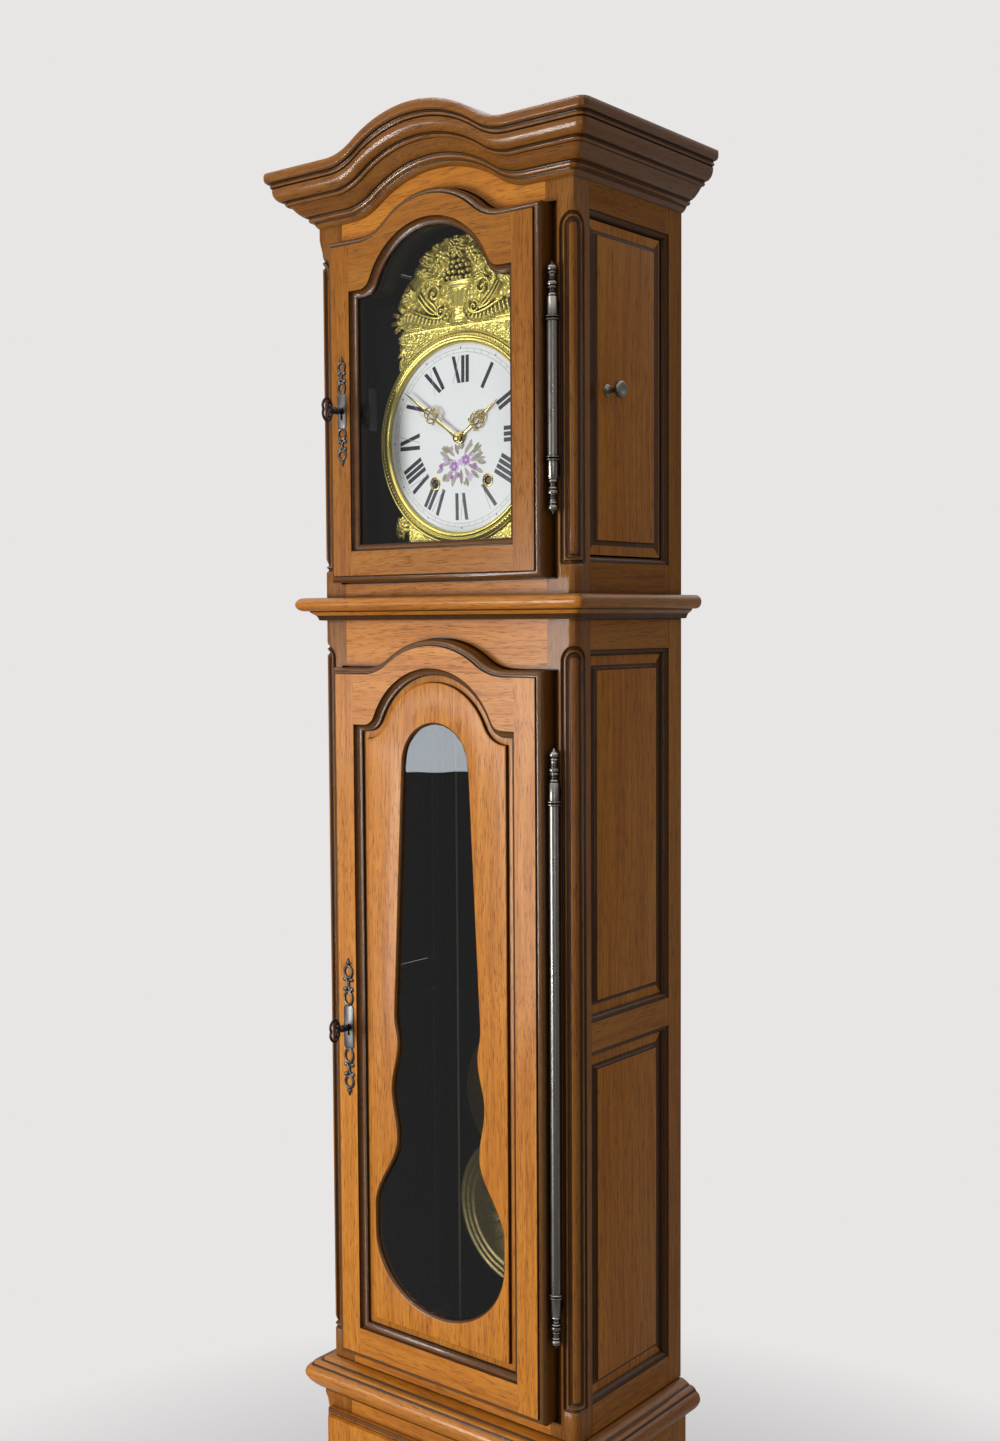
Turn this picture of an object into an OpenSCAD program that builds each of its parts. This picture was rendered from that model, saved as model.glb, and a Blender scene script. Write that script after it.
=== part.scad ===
// Comtoise longcase clock. Millimetres, +Z up, front towards -Y.
// Origin: on the floor under the middle of the trunk.

/* [Case] */
// Width of trunk and hood
case_w = 400; // [380:1:430]
// Depth of trunk and hood, front plane to back
case_d = 226; // [220:1:250]
// Height of the base body
base_h = 515; // [460:1:560]
// Height of the base moulding
base_mould_h = 48; // [40:1:56]
// Height of the trunk
trunk_h = 970; // [930:1:1010]
// Height of the waist moulding
waist_h = 29; // [26:1:34]
// Height of the hood up to the cornice
hood_h = 466; // [455:1:490]
// Height of the cornice at its shoulders
cornice_h = 70; // [60:1:80]
// Rise of the cornice arch
arch_rise = 42; // [34:1:50]
// Overhang of the cornice
cornice_out = 52; // [46:1:58]
// Overhang of the waist moulding
waist_out = 29; // [24:1:34]
// Overhang of the base moulding
base_out = 29; // [24:1:34]
// How far the base stands out from the trunk
base_step = 7.5; // [5:0.5:12]
// Width of the base beside its front panel
base_margin = 13; // [10:1:40]
// Radius of the rounded front corners
corner_r = 10; // [6:1:14]
// Width of the front posts
post_w = 40; // [38:1:46]
// Thickness of the front posts
post_d = 30; // [28:1:34]
// Thickness of the side frames
side_t = 20; // [16:1:22]
// Thickness of the back planks
back_t = 12; // [9:1:14]

/* [Doors] */
// Distance of a door's flat face from the case's side
door_set = 41; // [39:0.5:44]
// How far a door stands out of the case
door_out = 23; // [20:1:26]
// How far a door sits into the case
door_in = 7; // [5:1:9]
// Width of the rounded door edge
edge_w = 7.7; // [6:0.1:8.5]
// Gap around a door
door_gap = 1.8; // [1.2:0.1:2.5]
// Room for the barrel on the hinge side
hinge_gap = 9.3; // [9:0.1:11]
// Radius of the hinge barrel
barrel_r = 6.2; // [5:0.1:6.6]
// Radius of the hinge pins
pintle_r = 2.5; // [2:0.1:3]
// Running clearance of pins and arbors
run_gap = 0.05; // [0.02:0.01:0.1]
// Thickness of the glass
glass_t = 3; // [2:0.5:4]
// Distance of the opening in a door from the case's side
sight_set = 80.5; // [78:0.5:84]
// Distance of the keyhole from the case's side
key_set = 58.8; // [57:0.2:60]
// Travel of a lock bolt
bolt_travel = 8; // [6:0.5:9]

/* [Dial] */
// Height of the dial centre above the hood's foot
dial_up = 193.6; // [188:0.2:200]
// Radius of the visible enamel
dial_r = 117; // [112:1:119]
// Winding hole, sideways from the centre
wind_x = 42; // [40:1:44]
// Winding hole, down from the centre
wind_z = 53.5; // [51:0.5:56]

/* [Weights and pendulum] */
// Radius of a weight
weight_r = 39; // [34:1:40]
// Height of a weight
weight_h = 190; // [160:1:200]
// Radius of a cord
cord_r = 1.5; // [1:0.1:2]
// Radius of a winding drum
drum_r = 20; // [17:0.5:21]
// Radius of the pendulum bob
bob_r = 104; // [95:1:106]
// Height of the bob's centre above the floor
bob_z = 755; // [735:1:775]

/* [Hidden] */
hw = case_w / 2;
fy = -case_d / 2;
by = case_d / 2;
z_trunk = base_h + base_mould_h;
z_waist = z_trunk + trunk_h;
z_hood = z_waist + waist_h;
z_corn = z_hood + hood_h;
z_top = z_corn + cornice_h;
inner = hw - side_t;
post_in = hw - post_w;
rear_w = 36;
tenon = 6;
door_half = hw - door_set;
sight_half = hw - sight_set;
key_x = hw - key_set;

// Ogee head of the doors and of the cornice
door_s = door_half - 47;
door_part = 0.62;
hood_door_z0 = z_hood + 26.5;
hood_door_z1 = z_corn - 31;
hood_rise = 41;
trunk_door_z0 = z_trunk + 27;
trunk_door_z1 = z_waist - 67;
trunk_rise = 36;
sight_s = sight_half - 9.5;
sight_part = 0.78;
sight_rise = 72;
hood_sight_z0 = hood_door_z0 + 39.5;
hood_sight_z1 = hood_door_z1 - 66;
trunk_sight_z0 = trunk_door_z0 + 43;
trunk_sight_z1 = trunk_door_z1 - 72;
arch_s = post_in - 20;
arch_part = 0.68;

// Hinges
hinge_side = door_half + edge_w;
axis_x = hinge_side + hinge_gap - 0.5;
axis_y = fy - 8.5;
hood_barrel = [hood_door_z0 + 127.5, hood_door_z0 + 285];
trunk_barrel = [trunk_door_z0 + 150, trunk_door_z0 + 731];
knuckle_h = 24;
finial_h = 40;

// Locks
hood_key_z = hood_door_z0 + 205;
trunk_key_z = trunk_door_z0 + 425;
lock_x0 = -key_x - 14.8;
lock_w = 34;
lock_d = 14;
lock_wall = 1.5;
bolt_w = 10;
bolt_t = 5;

// Movement
dial_z = z_hood + dial_up;
dial_face = fy + 41;
dial_back = dial_face + 3;
mask_t = 1.5;
seat_t = 20;
z_seat = z_hood + seat_t;
cage_half = 92;
plate_t = 4;
cage_y0 = fy + 50;
cage_y1 = fy + 144;
strap_t = 4;
strap_w = 20;
strap_front = fy + 55;
strap_back = fy + 136;
drum_x = wind_x;
drum_z = dial_z - wind_z;
arbor_r = 3;
wind_r = 4;
great_n = 64;
leaf_n = 16;
great_d = sqrt(wind_x * wind_x + wind_z * wind_z);
great_m = 2 * great_d / (great_n + leaf_n);
great_a = atan2(wind_z, -wind_x);
pin_a = great_a - 26;
centre_n = 48;
escape_leaf_n = 12;
centre_m = 1.1;
escape_d = centre_m * (centre_n + escape_leaf_n) / 2;
escape_z = dial_z + escape_d;
escape_r = 23;
anchor_z = escape_z + 32;
cage_h = anchor_z - z_seat + 29.4;
motion_d = 28.8;
cannon_n = 16;
minute_n = 48;
minute_leaf_n = 12;
hour_n = 48;
motion_z = dial_z - motion_d;
hour_m = 2 * motion_d / (hour_n + minute_leaf_n);
cannon_m = 2 * motion_d / (cannon_n + minute_n);
strike_x = -wind_x + great_d * cos(pin_a);
strike_z = drum_z + great_d * sin(pin_a);
pend_y = fy + 164;
weight_y = fy + 102;
cord_x = drum_x + drum_r + 0.3 + cord_r;
weight_z = 60;
hook_h = 40;
hammer_x = -drum_x - 16;
hammer_z = anchor_z + 11;
bell_r = 62;
bell_y = dial_back + 5 + bell_r;
bell_up = 44;

oak = [0.72, 0.47, 0.24];
dark_oak = [0.45, 0.28, 0.14];
steel = [0.55, 0.55, 0.53];
iron = [0.16, 0.16, 0.17];
brass = [0.80, 0.62, 0.25];
enamel = [0.95, 0.94, 0.90];
pane = [0.75, 0.82, 0.82, 0.35];
hemp = [0.70, 0.60, 0.42];

// A board between two corners
module slab(x0, x1, y0, y1, z0, z1) {
  translate([x0, y0, z0])
    cube([x1 - x0, y1 - y0, z1 - z0]);
}

// A flat shape in X and Z, drawn out from y0 to y1
module xz(y0, y1) {
  translate([0, y1, 0])
    rotate([90, 0, 0])
      linear_extrude(height = y1 - y0)
        children();
}

// A flat shape in Y and Z, drawn out from x0 to x1
module yz(x0, x1) {
  translate([x0, 0, 0])
    rotate([90, 0, 90])
      linear_extrude(height = x1 - x0)
        children();
}

// A round bar along Y
module bar_y(x, z, r, y0, y1) {
  translate([x, y1, z])
    rotate([90, 0, 0])
      cylinder(r = r, h = y1 - y0, $fn = 48);
}

// Points of an ogee head, from right to left, moved outwards by off
function ogee(s, rise, part, z0, off, n = 10) =
  let (t = 2 * atan(rise / s),
       sum = s / sin(t),
       rc = part * sum + off,
       rs = (1 - part) * sum - off,
       zc = z0 + rise - part * sum,
       zs = z0 + (1 - part) * sum)
  concat(
    [for (i = [0 : n - 1]) let (a = t * i / n) [s - rs * sin(a), zs - rs * cos(a)]],
    [for (i = [-n : n]) let (a = -t * i / n) [rc * sin(a), zc + rc * cos(a)]],
    [for (i = [n - 1 : -1 : 0]) let (a = t * i / n) [rs * sin(a) - s, zs - rs * cos(a)]]);

// A closed outline with an ogee head
module headed(w, z0, z1, s, rise, part, off) {
  polygon(concat([[w + off, z0 - off], [w + off, z1 + off]],
    ogee(s, rise, part, z1, off),
    [[-w - off, z1 + off], [-w - off, z0 - off]]));
}

module hood_face(off) {
  headed(door_half, hood_door_z0, hood_door_z1, door_s, hood_rise, door_part, off);
}

module trunk_face(off) {
  headed(door_half, trunk_door_z0, trunk_door_z1, door_s, trunk_rise, door_part, off);
}

module hood_sight(off) {
  headed(sight_half, hood_sight_z0, hood_sight_z1, sight_s, sight_rise, sight_part, off);
}

module trunk_sight(off) {
  headed(sight_half, trunk_sight_z0, trunk_sight_z1, sight_s, sight_rise, sight_part, off);
}

// A front post with a rounded, reeded corner; side is 1 for right, -1 for left
module post(side, z0, z1, za, zb) {
  difference() {
    slab(min(side * post_in, side * hw), max(side * post_in, side * hw), fy, fy + post_d, z0, z1);
    difference() {
      slab(min(side * (hw - corner_r), side * (hw + 1)), max(side * (hw - corner_r), side * (hw + 1)),
        fy - 1, fy + corner_r, z0 + 4, zb + 8);
      translate([side * (hw - corner_r), fy + corner_r, z0])
        cylinder(r = corner_r, h = z1 - z0, $fn = 48);
    }
    for (g = [corner_r + 1.4, corner_r + 7.4]) {
      slab(side * (hw - g) - 1.3, side * (hw - g) + 1.3, fy - 1, fy + 2.6, za, zb);
      slab(min(side * (hw - 2.6), side * (hw + 1)), max(side * (hw - 2.6), side * (hw + 1)),
        fy + g - 1.3, fy + g + 1.3, za, zb);
    }
  }
}

// A board with a moulded front and moulded ends, by its list of heights and overhangs
module moulded(prof, z0, y_back, grow) {
  inn = hw + grow;
  intersection() {
    yz(-hw - 80, hw + 80)
      polygon(concat([for (p = prof) [fy - grow - p[1], z0 + p[0]]],
        [[y_back, z0 + prof[len(prof) - 1][0]], [y_back, z0 + prof[0][0]]]));
    xz(fy - 90, y_back)
      polygon(concat([for (p = prof) [-inn - p[1], z0 + p[0]]],
        [for (i = [len(prof) - 1 : -1 : 0]) [inn + prof[i][1], z0 + prof[i][0]]]));
  }
}

// Toothed wheel outline; phase points one tooth that way
module teeth(n, m, phase) {
  r = n * m / 2;
  step = 360 / n;
  tip = r + 0.8 * m;
  root = r - 1.15 * m;
  polygon([for (i = [0 : n - 1], k = [-2, -1, 1, 2])
    let (a = phase + step * (i + (abs(k) == 2 ? 0.27 : 0.1) * sign(k)),
         d = abs(k) == 2 ? root : tip)
    [d * cos(a), d * sin(a)]]);
}

// A wheel with arms, drawn out from y0 to y1 around a centre
module wheel(x, z, n, m, phase, hub, hole, y0, y1, arms = 4) {
  r = n * m / 2;
  translate([x, 0, z])
    xz(y0, y1)
      difference() {
        teeth(n, m, phase);
        difference() {
          circle(r = r - 4.2, $fn = 64);
          circle(r = hub, $fn = 48);
          for (i = [0 : arms - 1])
            rotate(i * 360 / arms)
              translate([0, -2])
                square([r, 4]);
        }
        circle(r = hole, $fn = 48);
      }
}

// Base

module base_floor() {
  color(dark_oak)
    slab(-inner, inner, fy - base_step + post_d, by - back_t, 0, 16);
}

module base_frame() {
  bw = hw + base_step;
  fb = fy - base_step;
  color(oak) {
    for (s = [-1, 1]) {
      slab(min(s * post_in, s * bw), max(s * post_in, s * bw), fb, fb + post_d, 0, base_h);
      slab(min(s * inner, s * bw), max(s * inner, s * bw), by - rear_w, by, 0, base_h);
      for (z = [[0, 130], [base_h - 60, base_h]])
        slab(min(s * inner, s * bw), max(s * inner, s * bw), fb + post_d - tenon, by - rear_w + tenon,
          z[0], z[1]);
    }
    for (z = [[0, 150], [base_h - 60, base_h]])
      slab(-post_in - tenon, post_in + tenon, fb, fb + post_d, z[0], z[1]);
  }
}

module base_panels() {
  fb = fy - base_step;
  half = hw + base_step - base_margin;
  color(oak) {
    xz(fb - 10, fb)
      translate([-half, 118])
        square([2 * half, base_h - 18 - 118]);
    xz(fb - 16.5, fb - 10)
      translate([-half + 6, 124])
        square([2 * half - 12, base_h - 30 - 118]);
    for (s = [-1, 1]) {
      x0 = inner + 6;
      slab(min(s * x0, s * (x0 + 12)), max(s * x0, s * (x0 + 12)), fb + post_d, by - rear_w,
        130, base_h - 60);
      slab(min(s * (x0 + 12), s * (x0 + 17)), max(s * (x0 + 12), s * (x0 + 17)),
        fb + post_d + 18, by - rear_w - 18, 148, base_h - 78);
    }
  }
}

module plinth() {
  prof = [[0, 14], [70, 14], [78, 11], [84, 6], [88, 4], [88, 0]];
  color(dark_oak)
    difference() {
      moulded(prof, 0, by, base_step);
      slab(-hw - base_step, hw + base_step, fy - base_step, by + 1, -1, 100);
    }
}

module base_moulding() {
  o = base_out;
  h = base_mould_h;
  prof = [[0, base_step], [0.08 * h, 0.36 * o], [0.22 * h, 0.7 * o], [0.38 * h, 0.92 * o], [0.53 * h, o],
    [0.68 * h, 0.9 * o], [0.85 * h, 0.6 * o], [0.95 * h, 0.3 * o], [h, 0]];
  color(oak)
    difference() {
      moulded(prof, base_h, by, 0);
      slab(-inner, inner, fy + post_d, by + 1, base_h - 1, z_trunk + 1);
    }
}

// Trunk

module trunk_front_frame() {
  color(oak)
    difference() {
      union() {
        for (s = [-1, 1])
          post(s, z_trunk, z_waist, z_trunk + 38, z_waist - 33);
        for (z = [[z_trunk, trunk_door_z0 + 22], [trunk_sight_z1 + 44, z_waist]])
          slab(-post_in - tenon, post_in + tenon, fy, fy + post_d, z[0], z[1]);
      }
      xz(fy - 1, fy + door_in + 1)
        trunk_face(edge_w + door_gap);
      slab(hw - 60, axis_x + 0.5, fy - 1, fy + door_in + 1, trunk_door_z0 - edge_w, trunk_door_z1 + edge_w);
      keeper(trunk_key_z);
    }
}

// Mortise that takes a lock bolt
module keeper(z) {
  slab(-post_in - bolt_travel - 3, -post_in + 1, fy + door_in + 4, fy + door_in + 4 + bolt_t + 1.2,
    z + 10, z + 10 + bolt_w + 2);
}

module trunk_side_frames() {
  color(oak)
    for (s = [-1, 1]) {
      slab(min(s * inner, s * hw), max(s * inner, s * hw), by - rear_w, by, z_trunk, z_waist);
      for (z = [[z_trunk, z_trunk + 44], [z_trunk + 455, z_trunk + 504], [z_waist - 43, z_waist]])
        slab(min(s * inner, s * hw), max(s * inner, s * hw), fy + post_d, by - rear_w + tenon, z[0], z[1]);
    }
}

module trunk_side_panels() {
  x0 = inner + 4;
  color(oak)
    for (s = [-1, 1], z = [[z_trunk + 44, z_trunk + 455], [z_trunk + 504, z_waist - 43]]) {
      slab(min(s * x0, s * (x0 + 8)), max(s * x0, s * (x0 + 8)), fy + post_d, by - rear_w, z[0], z[1]);
      slab(min(s * (x0 + 8), s * (x0 + 13)), max(s * (x0 + 8), s * (x0 + 13)),
        fy + post_d + 18, by - rear_w - 18, z[0] + 18, z[1] - 18);
    }
}

module waist_moulding() {
  o = waist_out;
  h = waist_h;
  r = 0.29 * h;
  prof = concat([[0, 0.24 * o], [0.16 * h, 0.3 * o], [0.34 * h, 0.52 * o], [0.42 * h, 0.55 * o],
    [0.42 * h, o - r]],
    [for (a = [-75 : 15 : 90]) [h - r + r * sin(a), o - r + r * cos(a)]]);
  color(oak)
    difference() {
      moulded(prof, z_waist, by, 0);
      slab(-inner, inner, fy + post_d, by + 1, z_waist - 1, z_hood + 1);
    }
}

// Hood

module hood_front_frame() {
  color(oak)
    difference() {
      union() {
        for (s = [-1, 1])
          post(s, z_hood, z_top, z_hood + 36, z_corn - 37);
        xz(fy, fy + post_d)
          polygon(concat([[post_in + tenon, hood_sight_z1 - 10], [post_in + tenon, z_top]],
            ogee(arch_s, arch_rise, arch_part, z_top, 0),
            [[-post_in - tenon, z_top], [-post_in - tenon, hood_sight_z1 - 10]]));
        slab(-post_in - tenon, post_in + tenon, fy, fy + post_d, z_hood, hood_door_z0 + 23);
      }
      xz(fy - 1, fy + door_in + 1)
        hood_face(edge_w + door_gap);
      slab(hw - 60, axis_x + 0.5, fy - 1, fy + door_in + 1, hood_door_z0 - edge_w, hood_door_z1 + edge_w);
      xz(fy, fy + post_d + 1)
        headed(sight_half + 20, hood_door_z0 + 31, hood_sight_z1, sight_s, sight_rise, sight_part, 8);
      keeper(hood_key_z);
    }
}

side_z0 = z_hood + 43.5;
side_z1 = z_corn - 36;
leaf_gap = 2;
leaf_t = 10;
leaf_x = inner + 4;
face_x = leaf_x + leaf_t;
pivot_x = leaf_x + leaf_t / 2;
pivot_y = by - rear_w - leaf_gap - leaf_t / 2;

module hood_side_frames() {
  color(oak)
    for (s = [-1, 1]) {
      slab(min(s * inner, s * hw), max(s * inner, s * hw), by - rear_w, by, z_hood, z_top);
      for (z = [[z_hood, side_z0], [side_z1, z_top]])
        slab(min(s * inner, s * hw), max(s * inner, s * hw), fy + post_d, by - rear_w + tenon, z[0], z[1]);
    }
}

// Pivots of the two side doors
module side_pins() {
  for (s = [-1, 1])
    translate([s * pivot_x, pivot_y, 0]) {
      translate([0, 0, side_z0])
        cylinder(r = 2, h = 12, $fn = 48);
      translate([0, 0, side_z1 - 12])
        cylinder(r = 2, h = 12, $fn = 48);
    }
}

module side_leaf(s) {
  y0 = fy + post_d + leaf_gap;
  z0 = side_z0 + leaf_gap;
  z1 = side_z1 - leaf_gap;
  difference() {
    union() {
      slab(min(s * leaf_x, s * face_x), max(s * leaf_x, s * face_x), y0, pivot_y, z0, z1);
      translate([s * pivot_x, pivot_y, z0])
        cylinder(r = leaf_t / 2, h = z1 - z0, $fn = 48);
      slab(min(s * face_x, s * (face_x + 4)), max(s * face_x, s * (face_x + 4)),
        y0 + 18, pivot_y - 14, z0 + 18, z1 - 18);
    }
    for (z = [z0 - 1, z1 - 11])
      translate([s * pivot_x, pivot_y, z])
        cylinder(r = 2 + run_gap, h = 12, $fn = 48);
  }
}

module side_knob(s) {
  translate([s * (face_x + 4), fy + 68, z_hood + 236])
    rotate([0, s * 90, 0])
      rotate_extrude($fn = 64)
        polygon([[0, 0], [9, 0], [9, 1.5], [5, 3.5], [4.2, 8], [6, 11], [11, 13.5], [13, 17], [12, 21],
          [8, 24],
          [0, 25]]);
}

module side_door_left() {
  color(oak)
    side_leaf(-1);
}

module side_door_right() {
  color(oak)
    side_leaf(1);
}

module side_knob_left() {
  color(steel)
    side_knob(-1);
}

module side_knob_right() {
  color(steel)
    side_knob(1);
}

// Cornice steps: bottom and top as shares of its height, overhang as a share of its overhang
corn_steps = [[0, 0.1, 0.09], [0.1, 0.19, 0.2], [0.19, 0.29, 0.32], [0.29, 0.39, 0.44], [0.39, 0.46, 0.56],
  [0.46, 0.76, 0.8], [0.76, 1, 1]];

module cornice() {
  color(oak) {
    for (c = corn_steps) {
      o = c[2] * cornice_out;
      xz(fy - o, fy)
        polygon(concat(
          [[hw + o, z_corn + c[0] * cornice_h], [hw + o, z_corn + c[1] * cornice_h]],
          ogee(arch_s, arch_rise, arch_part, z_corn + c[1] * cornice_h, 0),
          [[-hw - o, z_corn + c[1] * cornice_h], [-hw - o, z_corn + c[0] * cornice_h]],
          [for (p = ogee(arch_s, arch_rise, arch_part, z_corn + c[0] * cornice_h, 0)) [-p[0], p[1]]]));
      for (s = [-1, 1])
        slab(min(s * hw, s * (hw + o)), max(s * hw, s * (hw + o)), fy, by,
          z_corn + c[0] * cornice_h, z_corn + c[1] * cornice_h);
    }
  }
}

module roof_board() {
  color(dark_oak)
    slab(-inner, inner, fy + post_d, by - back_t, z_top - 24, z_top - 10);
}

module back_board() {
  n = 3;
  w = 2 * inner / n;
  color(dark_oak)
    for (i = [0 : n - 1])
      slab(-inner + i * w, -inner + (i + 1) * w, by - back_t, by, 0, z_top - 6);
}

module seat_board() {
  color(dark_oak) {
    difference() {
      slab(-inner, inner, fy + post_d, by - back_t, z_hood, z_seat);
      for (s = [-1, 1])
        slab(s * cord_x - 6, s * cord_x + 6, weight_y - 26, weight_y + 26, z_hood - 1, z_seat + 1);
      slab(-60, 60, pend_y - 10, pend_y + 10, z_hood - 1, z_seat + 1);
    }
    for (s = [-1, 1])
      slab(min(s * (inner - 18), s * inner), max(s * (inner - 18), s * inner), fy + post_d, by - back_t,
        z_hood - 22, z_hood);
  }
}

// Door hinges

// Case half of a hinge: knuckle, finial, pin and the plate to the case; up is 1 at the top end
module pintle(z, up) {
  translate([axis_x, axis_y, z])
    mirror([0, 0, up > 0 ? 0 : 1])
      rotate_extrude($fn = 48)
        polygon([[0, -20], [pintle_r, -20], [pintle_r, 0.4], [8.2, 0.4], [8.2, 3.4], [barrel_r, 4.4],
          [barrel_r, knuckle_h - 3], [8.2, knuckle_h - 2], [8.2, knuckle_h], [3, knuckle_h + 2],
          [6, knuckle_h + 9], [6.4, knuckle_h + 13], [4.6, knuckle_h + 20], [2, knuckle_h + 24],
          [3, knuckle_h + 28], [1.6, knuckle_h + 34], [0, knuckle_h + finial_h]]);
  slab(axis_x + 1.2, axis_x + 4.2, axis_y + 1, fy,
    min(z + up * 5, z + up * 19), max(z + up * 5, z + up * 19));
}

module case_pintles() {
  color(steel) {
    for (b = [hood_barrel, trunk_barrel]) {
      pintle(b[1], 1);
      pintle(b[0], -1);
    }
    side_pins();
  }
}

// Door half of a hinge: the long barrel and its plate
module barrel(b) {
  difference() {
    union() {
      translate([axis_x, axis_y, b[0]])
        cylinder(r = barrel_r, h = b[1] - b[0], $fn = 48);
      for (z = [b[0], b[1] - 3])
        translate([axis_x, axis_y, z])
          cylinder(r = 8.2, h = 3, $fn = 48);
      slab(hinge_side, axis_x, axis_y - 1.2, axis_y + 1.2, b[0] + 4, b[1] - 4);
    }
    for (z = [b[0] - 1, b[1] - 21])
      translate([axis_x, axis_y, z])
        cylinder(r = pintle_r + run_gap, h = 22, $fn = 48);
  }
}

module hood_hinge_barrel() {
  color(steel)
    barrel(hood_barrel);
}

module trunk_hinge_barrel() {
  color(steel)
    barrel(trunk_barrel);
}

// Hood door

module keyhole(z, r) {
  translate([-key_x, z]) {
    circle(r = r, $fn = 32);
    translate([-1.8, -11])
      square([3.6, 11]);
  }
}

module hood_door_frame() {
  color(oak) {
    difference() {
      union() {
        xz(fy - door_out, fy + door_in)
          hood_face(0);
        xz(fy - door_out + 1.5, fy + door_in)
          hood_face(0.5 * edge_w);
        xz(fy - door_out + 3.5, fy + door_in)
          hood_face(0.85 * edge_w);
        xz(fy - door_out + 6, fy + door_in)
          hood_face(edge_w);
      }
      xz(fy - 60, fy + 60)
        hood_sight(0);
      xz(fy - 60, fy - door_out + 3)
        hood_sight(8.5);
      xz(fy - 60, fy - door_out + 6)
        hood_sight(4.5);
      xz(fy - door_out + 9, fy + 60)
        hood_sight(7);
      xz(fy - 60, fy + 60)
        keyhole(hood_key_z, 4);
    }
    difference() {
      xz(fy - door_out + 9 + glass_t, fy - door_out + 20)
        hood_sight(7);
      xz(fy - 60, fy + 60)
        hood_sight(0);
    }
  }
}

module hood_door_glass() {
  color(pane)
    xz(fy - door_out + 9, fy - door_out + 9 + glass_t)
      hood_sight(6.6);
}

// Escutcheon: a plate with a keyhole between two pierced runs of scrolls
module escutcheon(z, h, w) {
  xz(fy - door_out - 1.4, fy - door_out)
    difference() {
      union() {
        translate([-key_x, z])
          circle(r = w * 0.62, $fn = 8);
        translate([-key_x - w * 0.48, z - h * 0.17])
          square([w * 0.96, h * 0.34]);
        for (s = [-1, 1], i = [0 : 2])
          translate([-key_x, z + s * h * (0.205 + 0.085 * i)])
            circle(r = w * (0.46 - 0.07 * i), $fn = 32);
        for (s = [-1, 1])
          translate([-key_x, z + s * h * 0.43])
            polygon([[-w * 0.28, 0], [0, s * h * 0.07], [w * 0.28, 0], [0, -s * h * 0.05]]);
      }
      keyhole(z, 3.8);
      for (s = [-1, 1], i = [0 : 1])
        translate([-key_x, z + s * h * (0.205 + 0.085 * i)])
          circle(r = w * (0.2 - 0.03 * i), $fn = 24);
    }
}

module hood_escutcheon() {
  color(steel)
    escutcheon(hood_key_z, 136, 15.5);
}

module trunk_escutcheon() {
  color(steel)
    escutcheon(trunk_key_z, 178, 18.5);
}

// Lock case behind a door's stile, with a slot for the bolt and a keyhole
module lock(z) {
  y0 = fy + door_in;
  difference() {
    slab(lock_x0, lock_x0 + lock_w, y0, y0 + lock_d, z - 22, z + 30);
    slab(lock_x0 + lock_wall, lock_x0 + lock_w - lock_wall, y0 + lock_wall, y0 + lock_d - lock_wall,
      z - 20.5, z + 28.5);
    slab(lock_x0 - 1, lock_x0 + 3, y0 + 4.3, y0 + 4.9 + bolt_t, z + 10.7, z + 11.3 + bolt_w);
    xz(y0 - 1, y0 + 4)
      keyhole(z, 4);
  }
}

// Bolt, drawn back into its case at rest
module bolt(z) {
  y0 = fy + door_in + 4.6;
  slab(lock_x0 - 0.2, lock_x0 + 20, y0, y0 + bolt_t, z + 11, z + 11 + bolt_w);
}

// Key: shank, bit and an oval bow standing in the Y and Z directions
module key(z) {
  y0 = fy - door_out;
  bar_y(-key_x, z, 3, y0 - 17, fy + door_in + 11);
  bar_y(-key_x, z, 4.6, y0 - 9, y0 - 6.5);
  bar_y(-key_x, z, 4.6, y0 - 15, y0 - 12.5);
  slab(-key_x - 1.2, -key_x + 1.2, fy + door_in + 5, fy + door_in + 10.5, z - 9, z);
  translate([-key_x, y0 - 26.5, z])
    rotate([0, 90, 0])
      difference() {
        union() {
          translate([-5, 0, -1.7])
            cylinder(r = 10.5, h = 3.4, $fn = 48);
          translate([5, 0, -1.7])
            cylinder(r = 10.5, h = 3.4, $fn = 48);
        }
        translate([-6, 0, -3])
          cylinder(r = 5.6, h = 6, $fn = 48);
        translate([6, 0, -3])
          cylinder(r = 5.6, h = 6, $fn = 48);
      }
}

module hood_lock() {
  color(steel)
    lock(hood_key_z);
}

module hood_bolt() {
  color(brass)
    bolt(hood_key_z);
}

module hood_key() {
  color(iron)
    key(hood_key_z);
}

module trunk_lock() {
  color(steel)
    lock(trunk_key_z);
}

module trunk_bolt() {
  color(brass)
    bolt(trunk_key_z);
}

module trunk_key() {
  color(iron)
    key(trunk_key_z);
}

// Trunk door

// Half width of the violin opening between two stations, eased at both ends
function eased(a, b, t) = a + (b - a) * (1 - cos(180 * t)) / 2;

// Right half of the violin opening as drawn for a sight of drawn_half, from the bottom up
violin_z = trunk_sight_z0 + 37;
violin_h = trunk_sight_z1 + 11 - violin_z;
drawn_half = 119.5;
drawn_h = 735;
function violin_half(n = 8) = concat(
  [for (i = [0 : n]) let (a = 90 * i / n) [101 * sin(a), 88 - 88 * cos(a)]],
  [for (i = [0 : n]) let (t = i / n) [eased(101, 63, t), 120 + 94 * t]],
  [for (i = [1 : n]) let (t = i / n) [eased(63, 71.5, t), 214 + 61 * t]],
  [for (i = [1 : n]) let (t = i / n) [eased(71.5, 61, t), 275 + 59 * t]],
  [for (i = [1 : n]) let (t = i / n) [eased(61, 66, t), 334 + 36 * t]],
  [for (i = [0 : n - 1]) let (a = 90 * i / n) [50 * cos(a), 685 + 50 * sin(a)]]);

module violin() {
  h = violin_half();
  left = [for (i = [len(h) - 1 : -1 : 1]) [-h[i][0], h[i][1]]];
  translate([0, violin_z])
    scale([sight_half / drawn_half, violin_h / drawn_h])
      polygon(concat(h, [[0, drawn_h]], left));
}

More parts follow.
